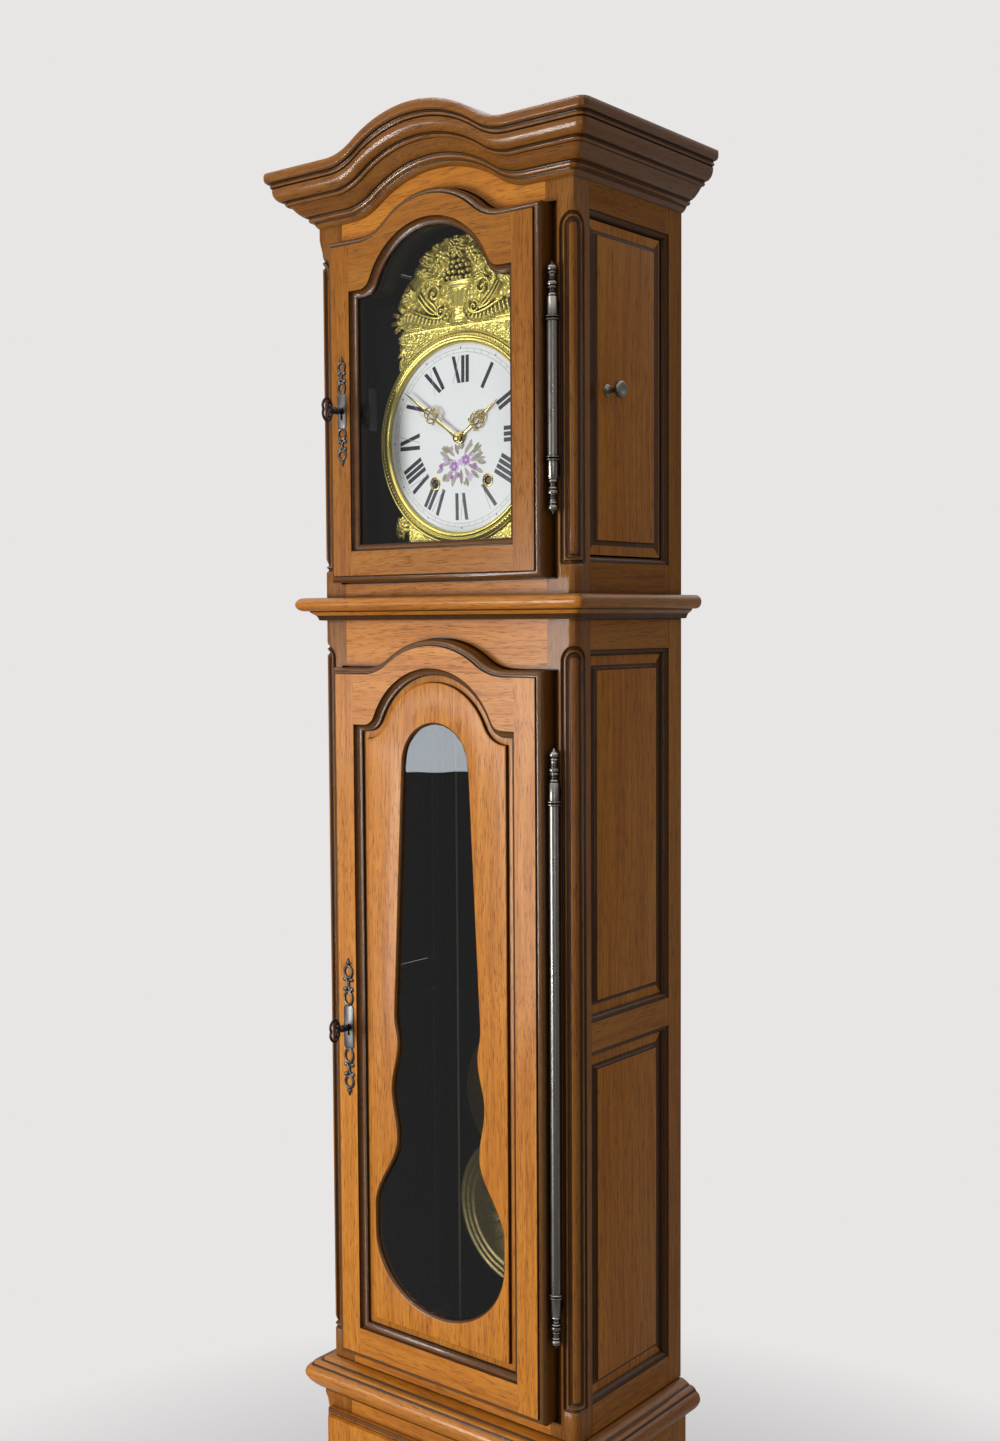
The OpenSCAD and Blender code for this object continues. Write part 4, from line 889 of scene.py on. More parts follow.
WAIST = [(0, 0, 0), (7, 0.5, 1), (8.7, 4.6, 1), (10.2, 6.6, 0), (13.4, 8.8, 0), (15.4, 10.6, 1),
         (16, 12.2, 1)]
for turn in np.linspace(-math.pi / 2, math.pi / 2, 13):
    WAIST.append((20.6 + 8.4 * math.cos(turn), 20.6 + 8.4 * math.sin(turn), 0))
WAIST += [(INNER - HW, 29, 0), (INNER - HW, 0, 0)]
BASE = [
    (7.5, 0, 1), (9.0, 2.2, 1), (11, 3.6, 0), (15.8, 6.6, 0), (20, 10.4, 0), (24, 14.8, 0), (26.6, 18.6, 0),
    (28.6, 23, 0), (29, 26, 0), (28.2, 29.4, 0), (26.8, 32.2, 0), (24.6, 34.4, 0), (22.9, 35.2, 1),
    (22.4, 36.3, 1), (21.3, 38.0, 0), (19.4, 39.6, 0), (17.0, 40.6, 0), (14.6, 40.9, 0), (13.4, 40.2, 1),
    (12.6, 41.2, 1), (11.2, 42.2, 0), (4, 46.2, 0), (INNER - HW, 48, 0), (INNER - HW, 0, 0)]
PLINTH = [
    (0, 0, 0), (14, 0, 0), (14, 66, 0), (13.2, 70, 0), (12, 71.4, 1), (11.6, 74, 0), (9.6, 78, 0),
    (7, 81.4, 0), (5, 84, 0), (4.4, 88, 0), (0, 88, 0)]


def moulding_ring(out, z, grow, lift):
    """One line of a moulding that runs round the left side, the front and the right side."""
    w, front = HW + grow + out, FRONT - grow - out
    r = max(min(MITRE_R, out + grow + 2), 2)
    left = [(-w, BACK), (-w, 0)]
    left += [(-w + r - r * math.cos(a), front + r - r * math.sin(a)) for a in quarter_turn(7)]
    run = [(x, front) for x in np.linspace(-POST_IN, POST_IN, RUN_POINTS)]
    path = left + run + mirrored(left)
    return [(x, y, z + (lift(x) if lift and y <= front + 0.01 else 0)) for x, y in path]


def make_moulding(name, profile, z0, material, stands_for, grow=0, lift=None, slot="oak"):
    shape = Shape()
    rings = [moulding_ring(out, z0 + z, grow, lift) for out, z, _ in profile]
    shape.loft(rings, [mat for _, _, mat in profile], closed=False, loop=True)
    for end in (0, -1):
        shape.add([ring[end] for ring in rings], [list(range(len(rings)))])
    shape.make(name, [material, OAK_STAIN_AND_SHADE], "case", slot, [stands_for], sharp=30)


def make_mouldings():
    make_moulding("cornice_moulding", CORNICE, Z_TOP - CORNICE_H, OAK_CORNICE, "cornice", lift=arch)
    make_moulding("waist_bullnose", WAIST, Z_WAIST, OAK_MOULD, "waist_moulding")
    make_moulding("base_ogee", BASE, Z_BASE, OAK_MOULD, "base_moulding")
    make_moulding("plinth_boards", PLINTH, 0, OAK_MOULD, "plinth", BASE_STEP, slot="dark_oak")


# Doors

def bored(obj, shape):
    """Cuts a shape out of an object and keeps the result as its mesh."""
    cutter = bpy.data.objects.new("cutter", shape.mesh("cutter"))
    bpy.context.scene.collection.objects.link(cutter)
    cut = obj.modifiers.new("hole", "BOOLEAN")
    cut.operation = "DIFFERENCE"
    cut.object = cutter
    depsgraph = bpy.context.evaluated_depsgraph_get()
    mesh = bpy.data.meshes.new_from_object(obj.evaluated_get(depsgraph))
    obj.modifiers.remove(cut)
    obj.data = mesh
    bpy.data.objects.remove(cutter)


def key_hole(z, r=4.0, slot=1.8, drop=11.0, n=20):
    """Keyhole outline: a round with a slot below it."""
    start = math.asin(slot / r)
    turn = np.linspace(-math.pi / 2 + start, 1.5 * math.pi - start, n)
    points = [(KEY_X + r * math.cos(a), z + r * math.sin(a)) for a in turn]
    return points + [(KEY_X - slot, z - drop), (KEY_X + slot, z - drop)]


def ovolo_in(deep):
    """The moulding around a door's opening, from its face inwards."""
    # The quirk and the deeper part of the ovolo take stain and painted shade; the faces behind take the
    # inside's painted shade.
    steps = [(8.9, 0, 1), (8.5, 0.5, 1), (8.4, 1.9, 1)]
    for a in quarter_turn(8):
        steps.append((1.0 + 6.6 * math.cos(a), 1.7 + 5.4 * math.sin(a), 0 if a < 1.2 else 1))
    return steps + [(0.6, 7.3, 1), (0.0, deep, 3)]


# Steps of a door's section: how far out, how deep, and the material of the next face
EDGE_STEPS = [(EDGE_W, DOOR_T, 0), (EDGE_W, 8.4, 0)]
for turn in np.linspace(0.12, math.pi / 2, 9)[:-1]:
    EDGE_STEPS.append((0.9 + (EDGE_W - 0.9) * math.cos(turn), 8.2 - 6.2 * math.sin(turn), 0))
EDGE_STEPS += [(1.3, 2.0, 1), (0.2, 2.4, 1), (0.1, 0.5, 1), (-0.5, 0, 2)]
MARGIN = 11.0
FIELD = 6.5
PANE_AT = 11.0
PANE_T = 3.0
HOOD_INNER = ovolo_in(8.9) + [(6.9, 8.9, 3), (6.9, 12.1, 3), (0.2, 12.1, 3), (0.2, 20, 3), (7, 20, 3),
                              (7, DOOR_T, 2)]
TRUNK_INNER = ovolo_in(MARGIN) + [(7, MARGIN, 3), (7, 22.05, 3), (-5.7, 22.05, 3), (-5.7, 25.02, 3),
                                  (-12, 25.02, 3), (-12, 29, 3), (7, 29, 3), (7, DOOR_T, 2)]
PANEL_BORDER = [(6.7, 22, 0), (6.7, MARGIN + 0.05, 0), (0.2, MARGIN + 0.05, 0), (-7.8, MARGIN, 1),
                (-8.3, MARGIN - 0.2, 1), (-8.5, FIELD + 1.5, 1), (-8.9, FIELD + 0.6, 0),
                (-9.7, FIELD + 0.1, 0), (-10.6, FIELD, 0)]
VIOLIN_EDGE = [(4.6, FIELD, 0), (3.7, FIELD + 0.2, 2), (2.7, FIELD + 0.8, 2), (1.8, FIELD + 1.7, 2),
               (1.1, FIELD + 2.9, 2), (0.8, PANE_AT, 2), (6.5, PANE_AT, 2), (6.5, 22, 2)]


def make_door(name, door, sight, inner_steps, key_z, face):
    """A door's frame around its opening, with a keyhole."""
    shape = Shape()
    rings = [at_y(door_face(door, off), DOOR_FRONT + depth) for off, depth, _ in EDGE_STEPS]
    rings += [at_y(door_sight(sight, off), DOOR_FRONT + depth) for off, depth, _ in inner_steps]
    shape.loft(rings, [mat for _, _, mat in EDGE_STEPS + inner_steps], loop=True)
    materials = [OAK_EDGE, OAK_STAIN_AND_SHADE, face, OAK_SHADED_INSIDE]
    obj = shape.make(name + "_oak", materials, name, "oak", [name + "_frame"])
    hole = Shape()
    hole.prism(key_hole(key_z), DOOR_FRONT - 20, DOOR_FRONT + DOOR_T + 20)
    bored(obj, hole)


def clear(obj):
    """Lets light that is scattered behind a pane pass it once, straight."""
    obj.visible_diffuse = False
    obj.visible_glossy = False


def make_trunk_panel():
    """A panel with a raised field and a violin opening whose pane lies just behind its edge."""
    shape = Shape()
    curve = violin()
    border = [at_y(door_sight(TRUNK_SIGHT, off), DOOR_FRONT + depth) for off, depth, _ in PANEL_BORDER]
    holes = [at_y(offset(curve, off), DOOR_FRONT + depth) for off, depth, _ in VIOLIN_EDGE]
    shape.loft(border, [mat for _, _, mat in PANEL_BORDER[:-1]])
    shape.loft(holes, [mat for _, _, mat in VIOLIN_EDGE[:-1]])
    shape.fill(border[-1], holes[0])
    shape.fill(border[0], holes[-1])
    shape.make("trunk_panel", [OAK_PANEL, OAK_STAIN_AND_SHADE, OAK_LIP], "trunk_door", "oak", ["trunk_door_panel"])
    pane = Shape()
    pane.prism(offset(curve, 6.2), DOOR_FRONT + PANE_AT + 0.05, DOOR_FRONT + PANE_AT + PANE_T)
    clear(pane.make("violin_pane", [PANE], "trunk_door", "pane", ["trunk_door_glass"]))


# Hinges, escutcheons, keys and knobs

BARREL_R = 6.2
SHOULDER_R = 7.4
BORE_R = 2.6
KNUCKLE = 24
NECK_R = 3.7
COLLAR_H = 3.0
FINIAL_RINGS = ((0.4, 3.6, 5.6), (4.6, 6.0, 4.8), (6.6, 8.2, 4.4), (8.9, 11.4, 5.9), (12.6, 16.8, 6.2),
                (18.4, 20.2, 5.6), (21.0, 22.4, 4.4), (25.4, 27.8, 5.4))
FINIAL_CAP = ((3.6, 28.6), (4.8, 29.2), (5.6, 30.6), (5.7, 32.6), (5.2, 34.2), (3.8, 35.6), (2.2, 37.0),
              (1.2, 38.6), (0, 40))


def collar(h):
    return [(BARREL_R, h), (SHOULDER_R, h + 0.3), (COLLAR_R, h + 1.0), (COLLAR_R, h + 1.9),
            (SHOULDER_R, h + 2.7), (BARREL_R, h + COLLAR_H)]


def finial_profile():
    """A knuckle with a collar, a stack of turned rings and a pointed cap."""
    profile = [(2.5, 0.4)] + collar(0.4) + [(BARREL_R, KNUCKLE - 0.8), (5.6, KNUCKLE)]
    for low, high, r in FINIAL_RINGS:
        swell = [(r * 0.9, low + 0.3), (r, (low + high) / 2), (r * 0.9, high - 0.3)]
        ring = [(NECK_R, low)] + swell + [(NECK_R, high)]
        profile += [(across, KNUCKLE + h) for across, h in ring]
    return profile + [(r, KNUCKLE + h) for r, h in FINIAL_CAP]


def make_hinges():
    """Long barrels on the doors; knuckles with finials and the side doors' pins on the case."""
    pins = Shape()
    for door in ("hood", "trunk"):
        low, high = box_mm(door + "_hinge_barrel")
        z0, z1 = low[2], high[2]
        rod = Shape()
        profile = [(BORE_R, z0)] + collar(z0) + collar(z1 - COLLAR_H) + [(BORE_R, z1)]
        rod.lathe(profile, upright(HINGE_X, HINGE_Y, 0))
        rod.board((DOOR_HALF + EDGE_W - 0.1, HINGE_Y - 1.2, z0 + 4), (HINGE_X - 3, HINGE_Y + 1.2, z1 - 4))
        rod.make(door + "_hinge_rod", [PEWTER], door + "_door", "steel", [door + "_hinge_barrel"])
        for z, up in ((z1, 1), (z0, -1)):
            pins.lathe(finial_profile(), upright(HINGE_X, HINGE_Y, z, up))
            foot, top = sorted((z + up * 5, z + up * 19))
            pins.board((HINGE_X + 1.2, HINGE_Y + 1, foot), (HINGE_X + 4.2, FRONT + 0.4, top))
    pin = [(1.6, 0), (2, 0.4), (2, SIDE_PIN - 0.4), (1.6, SIDE_PIN)]
    for s in (-1, 1):
        for z in (HOOD_LEVELS[0][1], HOOD_LEVELS[1][0] - SIDE_PIN):
            pins.lathe(pin, upright(s * PIVOT_X, PIVOT_Y, z))
    pins.make("hinge_finials", [PEWTER], "case", "steel", ["case_pintles"])


def oval_ring(shape, z, half_w, half_h, r, y):
    path = [(KEY_X + half_w * math.cos(a), y, z + half_h * math.sin(a)) for a in full_turn(28)]
    shape.tube(path, r, closed=True)


def knot(shape, z, half_w, half_h, r, y):
    """Two crossed strips with curled ends."""
    for s in (-1, 1):
        path = []
        for t in np.linspace(-1, 1, 13):
            path.append((KEY_X + s * half_w * (0.5 * t + 0.5 * t ** 3) * 0.8, y, z + half_h * 0.86 * t))
        shape.tube(path, r)
        for up in (-1, 1):
            shape.bead((KEY_X + s * half_w * 0.84, y, z + up * half_h * 0.62), (r * 1.9, r * 1.1, r * 1.7))
    shape.bead((KEY_X, y, z), (half_w * 0.36, r * 1.2, half_h * 0.2))


def clipped(half_w, half_h, c, z):
    """A rectangle around the keyhole's middle, with its corners cut off."""
    right = [(half_w - c, -half_h), (half_w, c - half_h), (half_w, half_h - c), (half_w - c, half_h)]
    return [(KEY_X + x, z + h) for x, h in right + mirrored(right)]


def make_escutcheon(door, z, height, width):
    """A keyhole plate with pierced runs of rings and knots that end in buds."""
    shape = Shape()
    half_w, half_h, face = width * 0.46, height * 0.165, DOOR_FRONT - 1.3
    rings = []
    for inset, y in ((0, DOOR_FRONT), (0, face + 0.4), (0.5, face)):
        rings.append(at_y(clipped(half_w - inset, half_h - inset, width * 0.24, z), y))
    shape.loft(rings, 1)
    hole = key_hole(z, 3.8, 1.7, 10.5)
    shape.fill(rings[-1], at_y(hole, face), 1)
    shape.loft([at_y(hole, face), at_y(hole, DOOR_FRONT)])
    reach = height / 2 - half_h
    y = DOOR_FRONT - 0.7
    r = 0.092 * width
    for s in (-1, 1):
        oval_ring(shape, z + s * (half_h + reach * 0.13), half_w - r, reach * 0.145, r, y)
        knot(shape, z + s * (half_h + reach * 0.43), half_w - r, reach * 0.17, r, y)
        oval_ring(shape, z + s * (half_h + reach * 0.70), half_w - r, reach * 0.125, r, y)
        tip = z + s * (half_h + reach * 0.90)
        shape.bead((KEY_X, y, tip), (width * 0.13, r * 1.2, reach * 0.075))
        for dx in (-0.14, 0.14):
            shape.bead((KEY_X + dx * width, y, tip - s * reach * 0.01), (width * 0.08, r, reach * 0.03))
        shape.bead((KEY_X, y, z + s * (height / 2 - reach * 0.04)), (width * 0.06, r, reach * 0.04))
    looks, stands_for = [DARK_STEEL, PLATE], [door + "_escutcheon"]
    shape.make(door + "_keyhole_plate", looks, door + "_door", "steel", stands_for)


# Radii and distances before the door of a key's collars, and the points of its scrolls
KEY_COLLARS = ((3.0, 5.6), (3.6, 6.2), (4.6, 6.8), (4.6, 8.6), (3.6, 9.2), (2.8, 9.8), (2.6, 11.6),
               (3.4, 12.4), (4.5, 13.0), (4.5, 14.4), (3.2, 15.2), (2.2, 16.4), (1.6, 18.2))
KEY_SCROLL = ((19.2, 0.6), (21.6, 2.2), (24.0, 4.4), (25.2, 7.0), (24.4, 9.0), (22.8, 9.2), (22.2, 7.9))
BOW_AT, BOW_R = 26.4, (8.7, 13.7)


def make_key(door, z):
    """A black key: shank with collars, bit, and a two-lobed bow with scrolls."""
    shape = Shape()
    shank = [(3.0, FRONT + 18)] + [(r, DOOR_FRONT - out) for r, out in KEY_COLLARS]
    shape.lathe(shank, along_y(KEY_X, z), segments=28)
    shape.board((KEY_X - 1.2, FRONT + 12, z - 9), (KEY_X + 1.2, FRONT + 17.5, z))
    bow = []
    for a in full_turn(56):
        waist = 1 - 0.22 * math.exp(-(math.sin(a) / 0.28) ** 2)
        y = DOOR_FRONT - BOW_AT - BOW_R[0] * math.cos(a) * waist
        bow.append((KEY_X, y, z + BOW_R[1] * math.sin(a)))
    shape.tube(bow, 1.7, closed=True, sides=12)
    for s in (-1, 1):
        scroll = [(KEY_X, DOOR_FRONT - out, z + s * h) for out, h in KEY_SCROLL]
        shape.tube(scroll, np.linspace(1.5, 0.9, len(scroll)), sides=8)
        shape.bead((KEY_X, DOOR_FRONT - 22.4, z + s * 7.8), (1.4, 1.4, 1.4))
    shape.make(door + "_black_key", [IRON], door + "_key", "iron", [door + "_key"])


KNOB_Y, KNOB_Z = FRONT + 68, Z_HOOD + 236
KNOB_PROFILE = ((7.5, 0), (7.5, 0.9), (6.6, 1.6), (4.4, 2.4), (3.3, 4.2), (3.0, 8), (3.4, 11.4),
                (5.0, 13.6), (8.2, 15.4), (9.9, 17.2), (10.3, 19.2), (9.9, 21.0), (8.6, 22.2), (6.8, 22.5),
                (4.6, 21.8), (2.2, 21.2), (0, 21.0))


def make_knob(s, body, stands_for):
    shape = Shape()
    start = INNER + 17.9
    shape.lathe(KNOB_PROFILE, lambda u, v, h: (s * (start + h), KNOB_Y + u, KNOB_Z + v))
    shape.make(stands_for + "_turned", [KNOB], body, "steel", [stands_for])


# Dial and hands

DIAL_R = 125
DOME = 1.2
WIND = [(-42, -53.5), (42, -53.5)]
WIND_R = 6.5
RIM = ((6.45, 2.4), (6.45, -0.2), (6.9, -0.75), (7.7, -0.75), (8.3, -0.3), (8.4, 0.1), (5.4, 0.1),
       (5.4, 2.4))
RINGS_R = (6, 9, 14, 20, 28, 36, 44, 50, 56, 62, 68, 74, 80, 90, 100, 110, 118, 122, DIAL_R)


def dial_y(x, z):
    return DIAL_FACE - DOME * max(0.0, 1 - (math.hypot(x, z) / DIAL_R) ** 2)


def on_dial(x, z, lift):
    return (x, dial_y(x, z) - lift, DIAL_Z + z)


def spoke(angle):
    """Unit vectors across and along a radius of the dial."""
    c, s = math.cos(angle), math.sin(angle)
    return np.array([c, -s]), np.array([s, c])


def dial_ring(r, lift, n):
    return [on_dial(r * math.sin(a), r * math.cos(a), lift) for a in full_turn(n)]


def ellipse(cx, cz, a, b, tilt, n=24):
    out = []
    for t in full_turn(n):
        u, v = a * math.cos(t), b * math.sin(t)
        x, z = u * math.cos(tilt) - v * math.sin(tilt), u * math.sin(tilt) + v * math.cos(tilt)
        out.append((cx + x, cz + z))
    return out


def make_dial():
    """A slightly domed enamel disc with holes for the hands and the winding squares."""
    shape, holes, rims = Shape(), Shape(), Shape()
    back = [[(x, DIAL_FACE + 3, z) for x, _, z in dial_ring(r, 0, 96)] for r in (DIAL_R, RINGS_R[0])]
    shape.loft([dial_ring(r, 0, 96) for r in RINGS_R] + back, loop=True)
    obj = shape.make("enamel_dial", [ENAMEL], "case", "enamel", ["dial"])
    for x, z in WIND:
        holes.prism(ellipse(x, DIAL_Z + z, WIND_R, WIND_R, 0), DIAL_FACE - 20, DIAL_FACE + 20)
        rims.lathe([(r, dial_y(x, z) + h) for r, h in RIM], along_y(x, DIAL_Z + z), ring=True)
    bored(obj, holes)
    rims.make("winding_rims", [BRASS_HAND], "case", "brass")


INK_LIFT = 0.07
TRACK = (104.0, 108.5)
TICK = (108.5, 111.0)
ROMAN = ["I", "II", "III", "IIII", "V", "VI", "VII", "VIII", "IX", "X", "XI", "XII"]
NUMERAL = (67.0, 100.0)
THICK, THIN = 5.1, 0.7
LETTER_W = {"I": 7.0, "V": 14.2, "X": 14.2}


def painted(shape, left, right, mat, lift):
    """A strip of paint between two rows of points, which follows the dial's dome."""
    n = len(left)
    points = [on_dial(x, z, lift) for x, z in left + right]
    shape.add(points, [[i, i + 1, n + i + 1, n + i] for i in range(n - 1)], mat)


def stroke(shape, angle, foot, head, w, radii, mat, steps=6):
    """A straight stroke between two radii, from one tangent to another."""
    tangent, radial = spoke(angle)
    low, high = radii
    left, right = [], []
    for t in np.linspace(0, 1, steps + 1):
        middle = tangent * (foot + (head - foot) * t) + radial * (low + (high - low) * t)
        left.append(middle - tangent * w / 2)
        right.append(middle + tangent * w / 2)
    painted(shape, left, right, mat, INK_LIFT)


def numeral_strokes(text):
    """Strokes of a numeral as (foot, head, width), in tangents."""
    at = -sum(LETTER_W[c] for c in text) / 2
    strokes = []
    for c in text:
        w = LETTER_W[c]
        m, half = at + w / 2, w / 2 - 2.4
        if c == "I":
            strokes.append((m, m, THICK))
        elif c == "V":
            strokes += [(m + 0.3, m - half, THICK), (m + 0.9, m + half, THIN)]
        else:
            strokes += [(m + half, m - half, THICK), (m - half, m + half, THIN)]
        at += w
    return strokes


def make_dial_paint():
    shape = Shape()
    for k, text in enumerate(ROMAN, 1):
        for foot, head, w in numeral_strokes(text):
            stroke(shape, math.radians(30 * k), foot, head, w, NUMERAL, 0 if w == THICK else 1)
    for r in TRACK:
        shape.loft([dial_ring(r - 0.25, INK_LIFT, 180), dial_ring(r + 0.25, INK_LIFT, 180)], 1)
    for i in range(60):
        w, radii, mat = (0.56, TRACK, 1) if i % 5 else (1.4, TICK, 0)
        stroke(shape, math.radians(6 * i), 0, 0, w, radii, mat, 2)
    paint_posy(shape)
    shape.make("dial_paint", [INK, FAINT_INK, VIOLET, LILAC, OLIVE, GREY_LEAF], "case", "enamel")


def petal(shape, x, z, angle, length, width, mat, lift):
    """A pointed oval of paint."""
    tangent, radial = spoke(angle)
    left, right = [], []
    for t in np.linspace(0, 1, 9):
        half = width / 2 * math.sin(math.pi * min(t * 0.96 + 0.02, 1)) ** 0.75
        middle = np.array([x, z]) + radial * length * t
        left.append(middle - tangent * half)
        right.append(middle + tangent * half)
    painted(shape, left, right, mat, lift)


def blossom(shape, x, z, r, mat, petals, turn, lift):
    for i in range(petals):
        a = turn + 2 * math.pi * i / petals
        petal(shape, x, z, a, r, r * 0.72, mat, lift + 0.004 * i)


# A posy around the point below the centre: leaves by place, degrees and length, flowers by place and radius
LEAVES = (
    (-6, -30, -75, 24), (-8, -27, -100, 28), (-10, -36, -130, 22), (-6, -40, -155, 19), (0, -38, 178, 19),
    (6, -36, 150, 20), (10, -32, 115, 25), (12, -28, 85, 27), (10, -24, 60, 27), (6, -20, 35, 16),
    (-4, -20, -20, 14), (-10, -22, -45, 20), (16, -40, 130, 16), (-16, -40, -140, 16), (18, -26, 70, 18),
    (-18, -24, -60, 18), (20, -18, 40, 14), (-22, -18, -30, 12), (26, -30, 100, 14), (-28, -36, -110, 12),
    (2, -14, 10, 12), (-12, -46, 190, 13), (8, -48, 165, 12), (14, -14, 15, 12), (-16, -16, -70, 16),
    (24, -38, 120, 12), (-24, -42, -150, 11))
BLOOMS = ((-32, -33, 4.0), (-24, -27, 3.8), (22, -35, 4.4), (15, -47, 4.8), (-4, -45, 3.8), (0, -29, 5.4),
          (-15, -47, 3.6), (19, -22, 3.6))
BUDS = ((-15, -12, 3.8), (-3, -11, 4.4), (-27, -13, 3.4), (16, -9, 3.6), (30, -18, 3.4), (-21, -50, 3.2),
        (6, -55, 3.2), (33, -30, 3.0))


def paint_posy(shape):
    """A small painted bunch of violet flowers and leaves below the centre."""
    for i, (x, z, degrees, length) in enumerate(LEAVES):
        petal(shape, x, z, math.radians(degrees), length, 5.6, 4 + i % 2, 0.08 + 0.002 * i)
    for x, z, r in BUDS:
        blossom(shape, x, z, r, 5, 4, 0.4, 0.12)
    for i, (x, z, r) in enumerate(BLOOMS):
        blossom(shape, x, z, r, 2 + i % 2, 5, 0.3 * i, 0.15)
    for x, z, r, turn in ((-11, -34, 8.5, 0.2), (8, -27, 8.5, 0.7)):
        blossom(shape, x, z, r, 3, 7, turn, 0.18)
        blossom(shape, x, z, r * 0.74, 2, 6, turn + 0.4, 0.22)
        blossom(shape, x, z, r * 0.3, 3, 5, turn, 0.26)


HAND_T = 1.3
HAND_SECTION = ((-1, 0), (-1, 0.6), (-0.45, 1), (0.45, 1), (1, 0.6), (1, 0))


def ribbon(shape, path, half, y_face, place, closed):
    """A flat strip with a raised ridge, cut along a path in the hand's own plane."""
    p = np.array(path, float)
    t = tangents(p, closed)
    normal = np.stack([-t[:, 1], t[:, 0]], 1)
    halves = np.broadcast_to(np.array(half, float), (len(p),))
    rings = []
    for q, n, h in zip(p, normal, halves):
        rings.append([place(*(q + n * h * across), y_face - HAND_T * up) for across, up in HAND_SECTION])
    shape.loft(rings, loop=closed, caps=not closed)


def make_hand(name, body, stands_for, length, width, y_back, degrees, eye):
    """A pierced brass hand: hub, waisted stem, open scrolls and a long point."""
    shape = Shape()
    k = width / 22
    mid = length * 0.5 / k
    c, s = math.cos(math.radians(degrees)), math.sin(math.radians(degrees))

    def place(x, z, y):
        return c * x - s * z, y, DIAL_Z + s * x + c * z

    def strip(path, half, closed=False):
        path, half = np.array(path) * k, np.array(half) * k
        ribbon(shape, path, half, y_back, place, closed)

    def scroll(x, z, a, b, tilt, half):
        strip(ellipse(x, mid + z, a, b, tilt), half, True)

    end, hub = length / k, (eye - 1.6) / k
    strip(ellipse(0, 0, hub, hub, 0), 1.6 / k, True)
    strip([(0, (eye - 1) / k), (0, end * 0.18), (0, end * 0.28), (0, mid - 11)], [2.6, 1.5, 1.9, 2.3])
    scroll(0, -4.5, 3.4, 7.5, 0, 0.95)
    for side in (-1, 1):
        scroll(side * 6.6, -5.0, 3.0, 5.6, -side * 0.5, 0.85)
        scroll(side * 4.6, 6.2, 2.5, 4.6, side * 0.55, 0.8)
        curl = [(0, mid - 12), (side * 4, mid - 11), (side * 8, mid - 12.5), (side * 9.6, mid - 10.2)]
        strip(curl, [1.2, 1.0, 0.9, 0.7])
        bud = place(side * 9.4 * k, (mid + 0.6) * k, y_back - HAND_T / 2)
        shape.bead(bud, (1.5 * k, HAND_T * 0.6, 1.5 * k))
    scroll(0, 8, 2.1, 5.0, 0, 0.85)
    strip([(0, mid + 12.5), (0, end * 0.74), (0, end * 0.9), (0, end)], [1.9, 1.6, 1.0, 0.25 / k])
    shape.make(name, [BRASS_HAND], body, "brass", [stands_for])


BOSS = ((3.0, 33), (5.4, 32.2), (5.4, 31.6), (5.0, 31.0), (4.4, 30.6), (4.2, 29.9), (3.2, 29.35),
        (1.6, 29.05), (0, 29))


def make_hands():
    make_hand("hour_pointer", "hour_pipe", "hour_hand", 72, 22, FRONT + 37.2, -55, 7)
    make_hand("minute_pointer", "minute_arbor", "minute_hand", 104, 20, FRONT + 32.4, 54, 6)
    boss = Shape()
    boss.lathe([(r, FRONT + h) for r, h in BOSS], along_y(0, DIAL_Z), segments=32)
    boss.make("minute_boss", [BRASS_HAND], "minute_arbor", "brass")


# Embossed brass: the mask and the bob

MASK_FACE = box_mm("dial_mask")[1][1] - 1.5
SHEET = 0.25
LOBES = 3
GRAIN_SEED = 11
SPRAY_SEED = 5


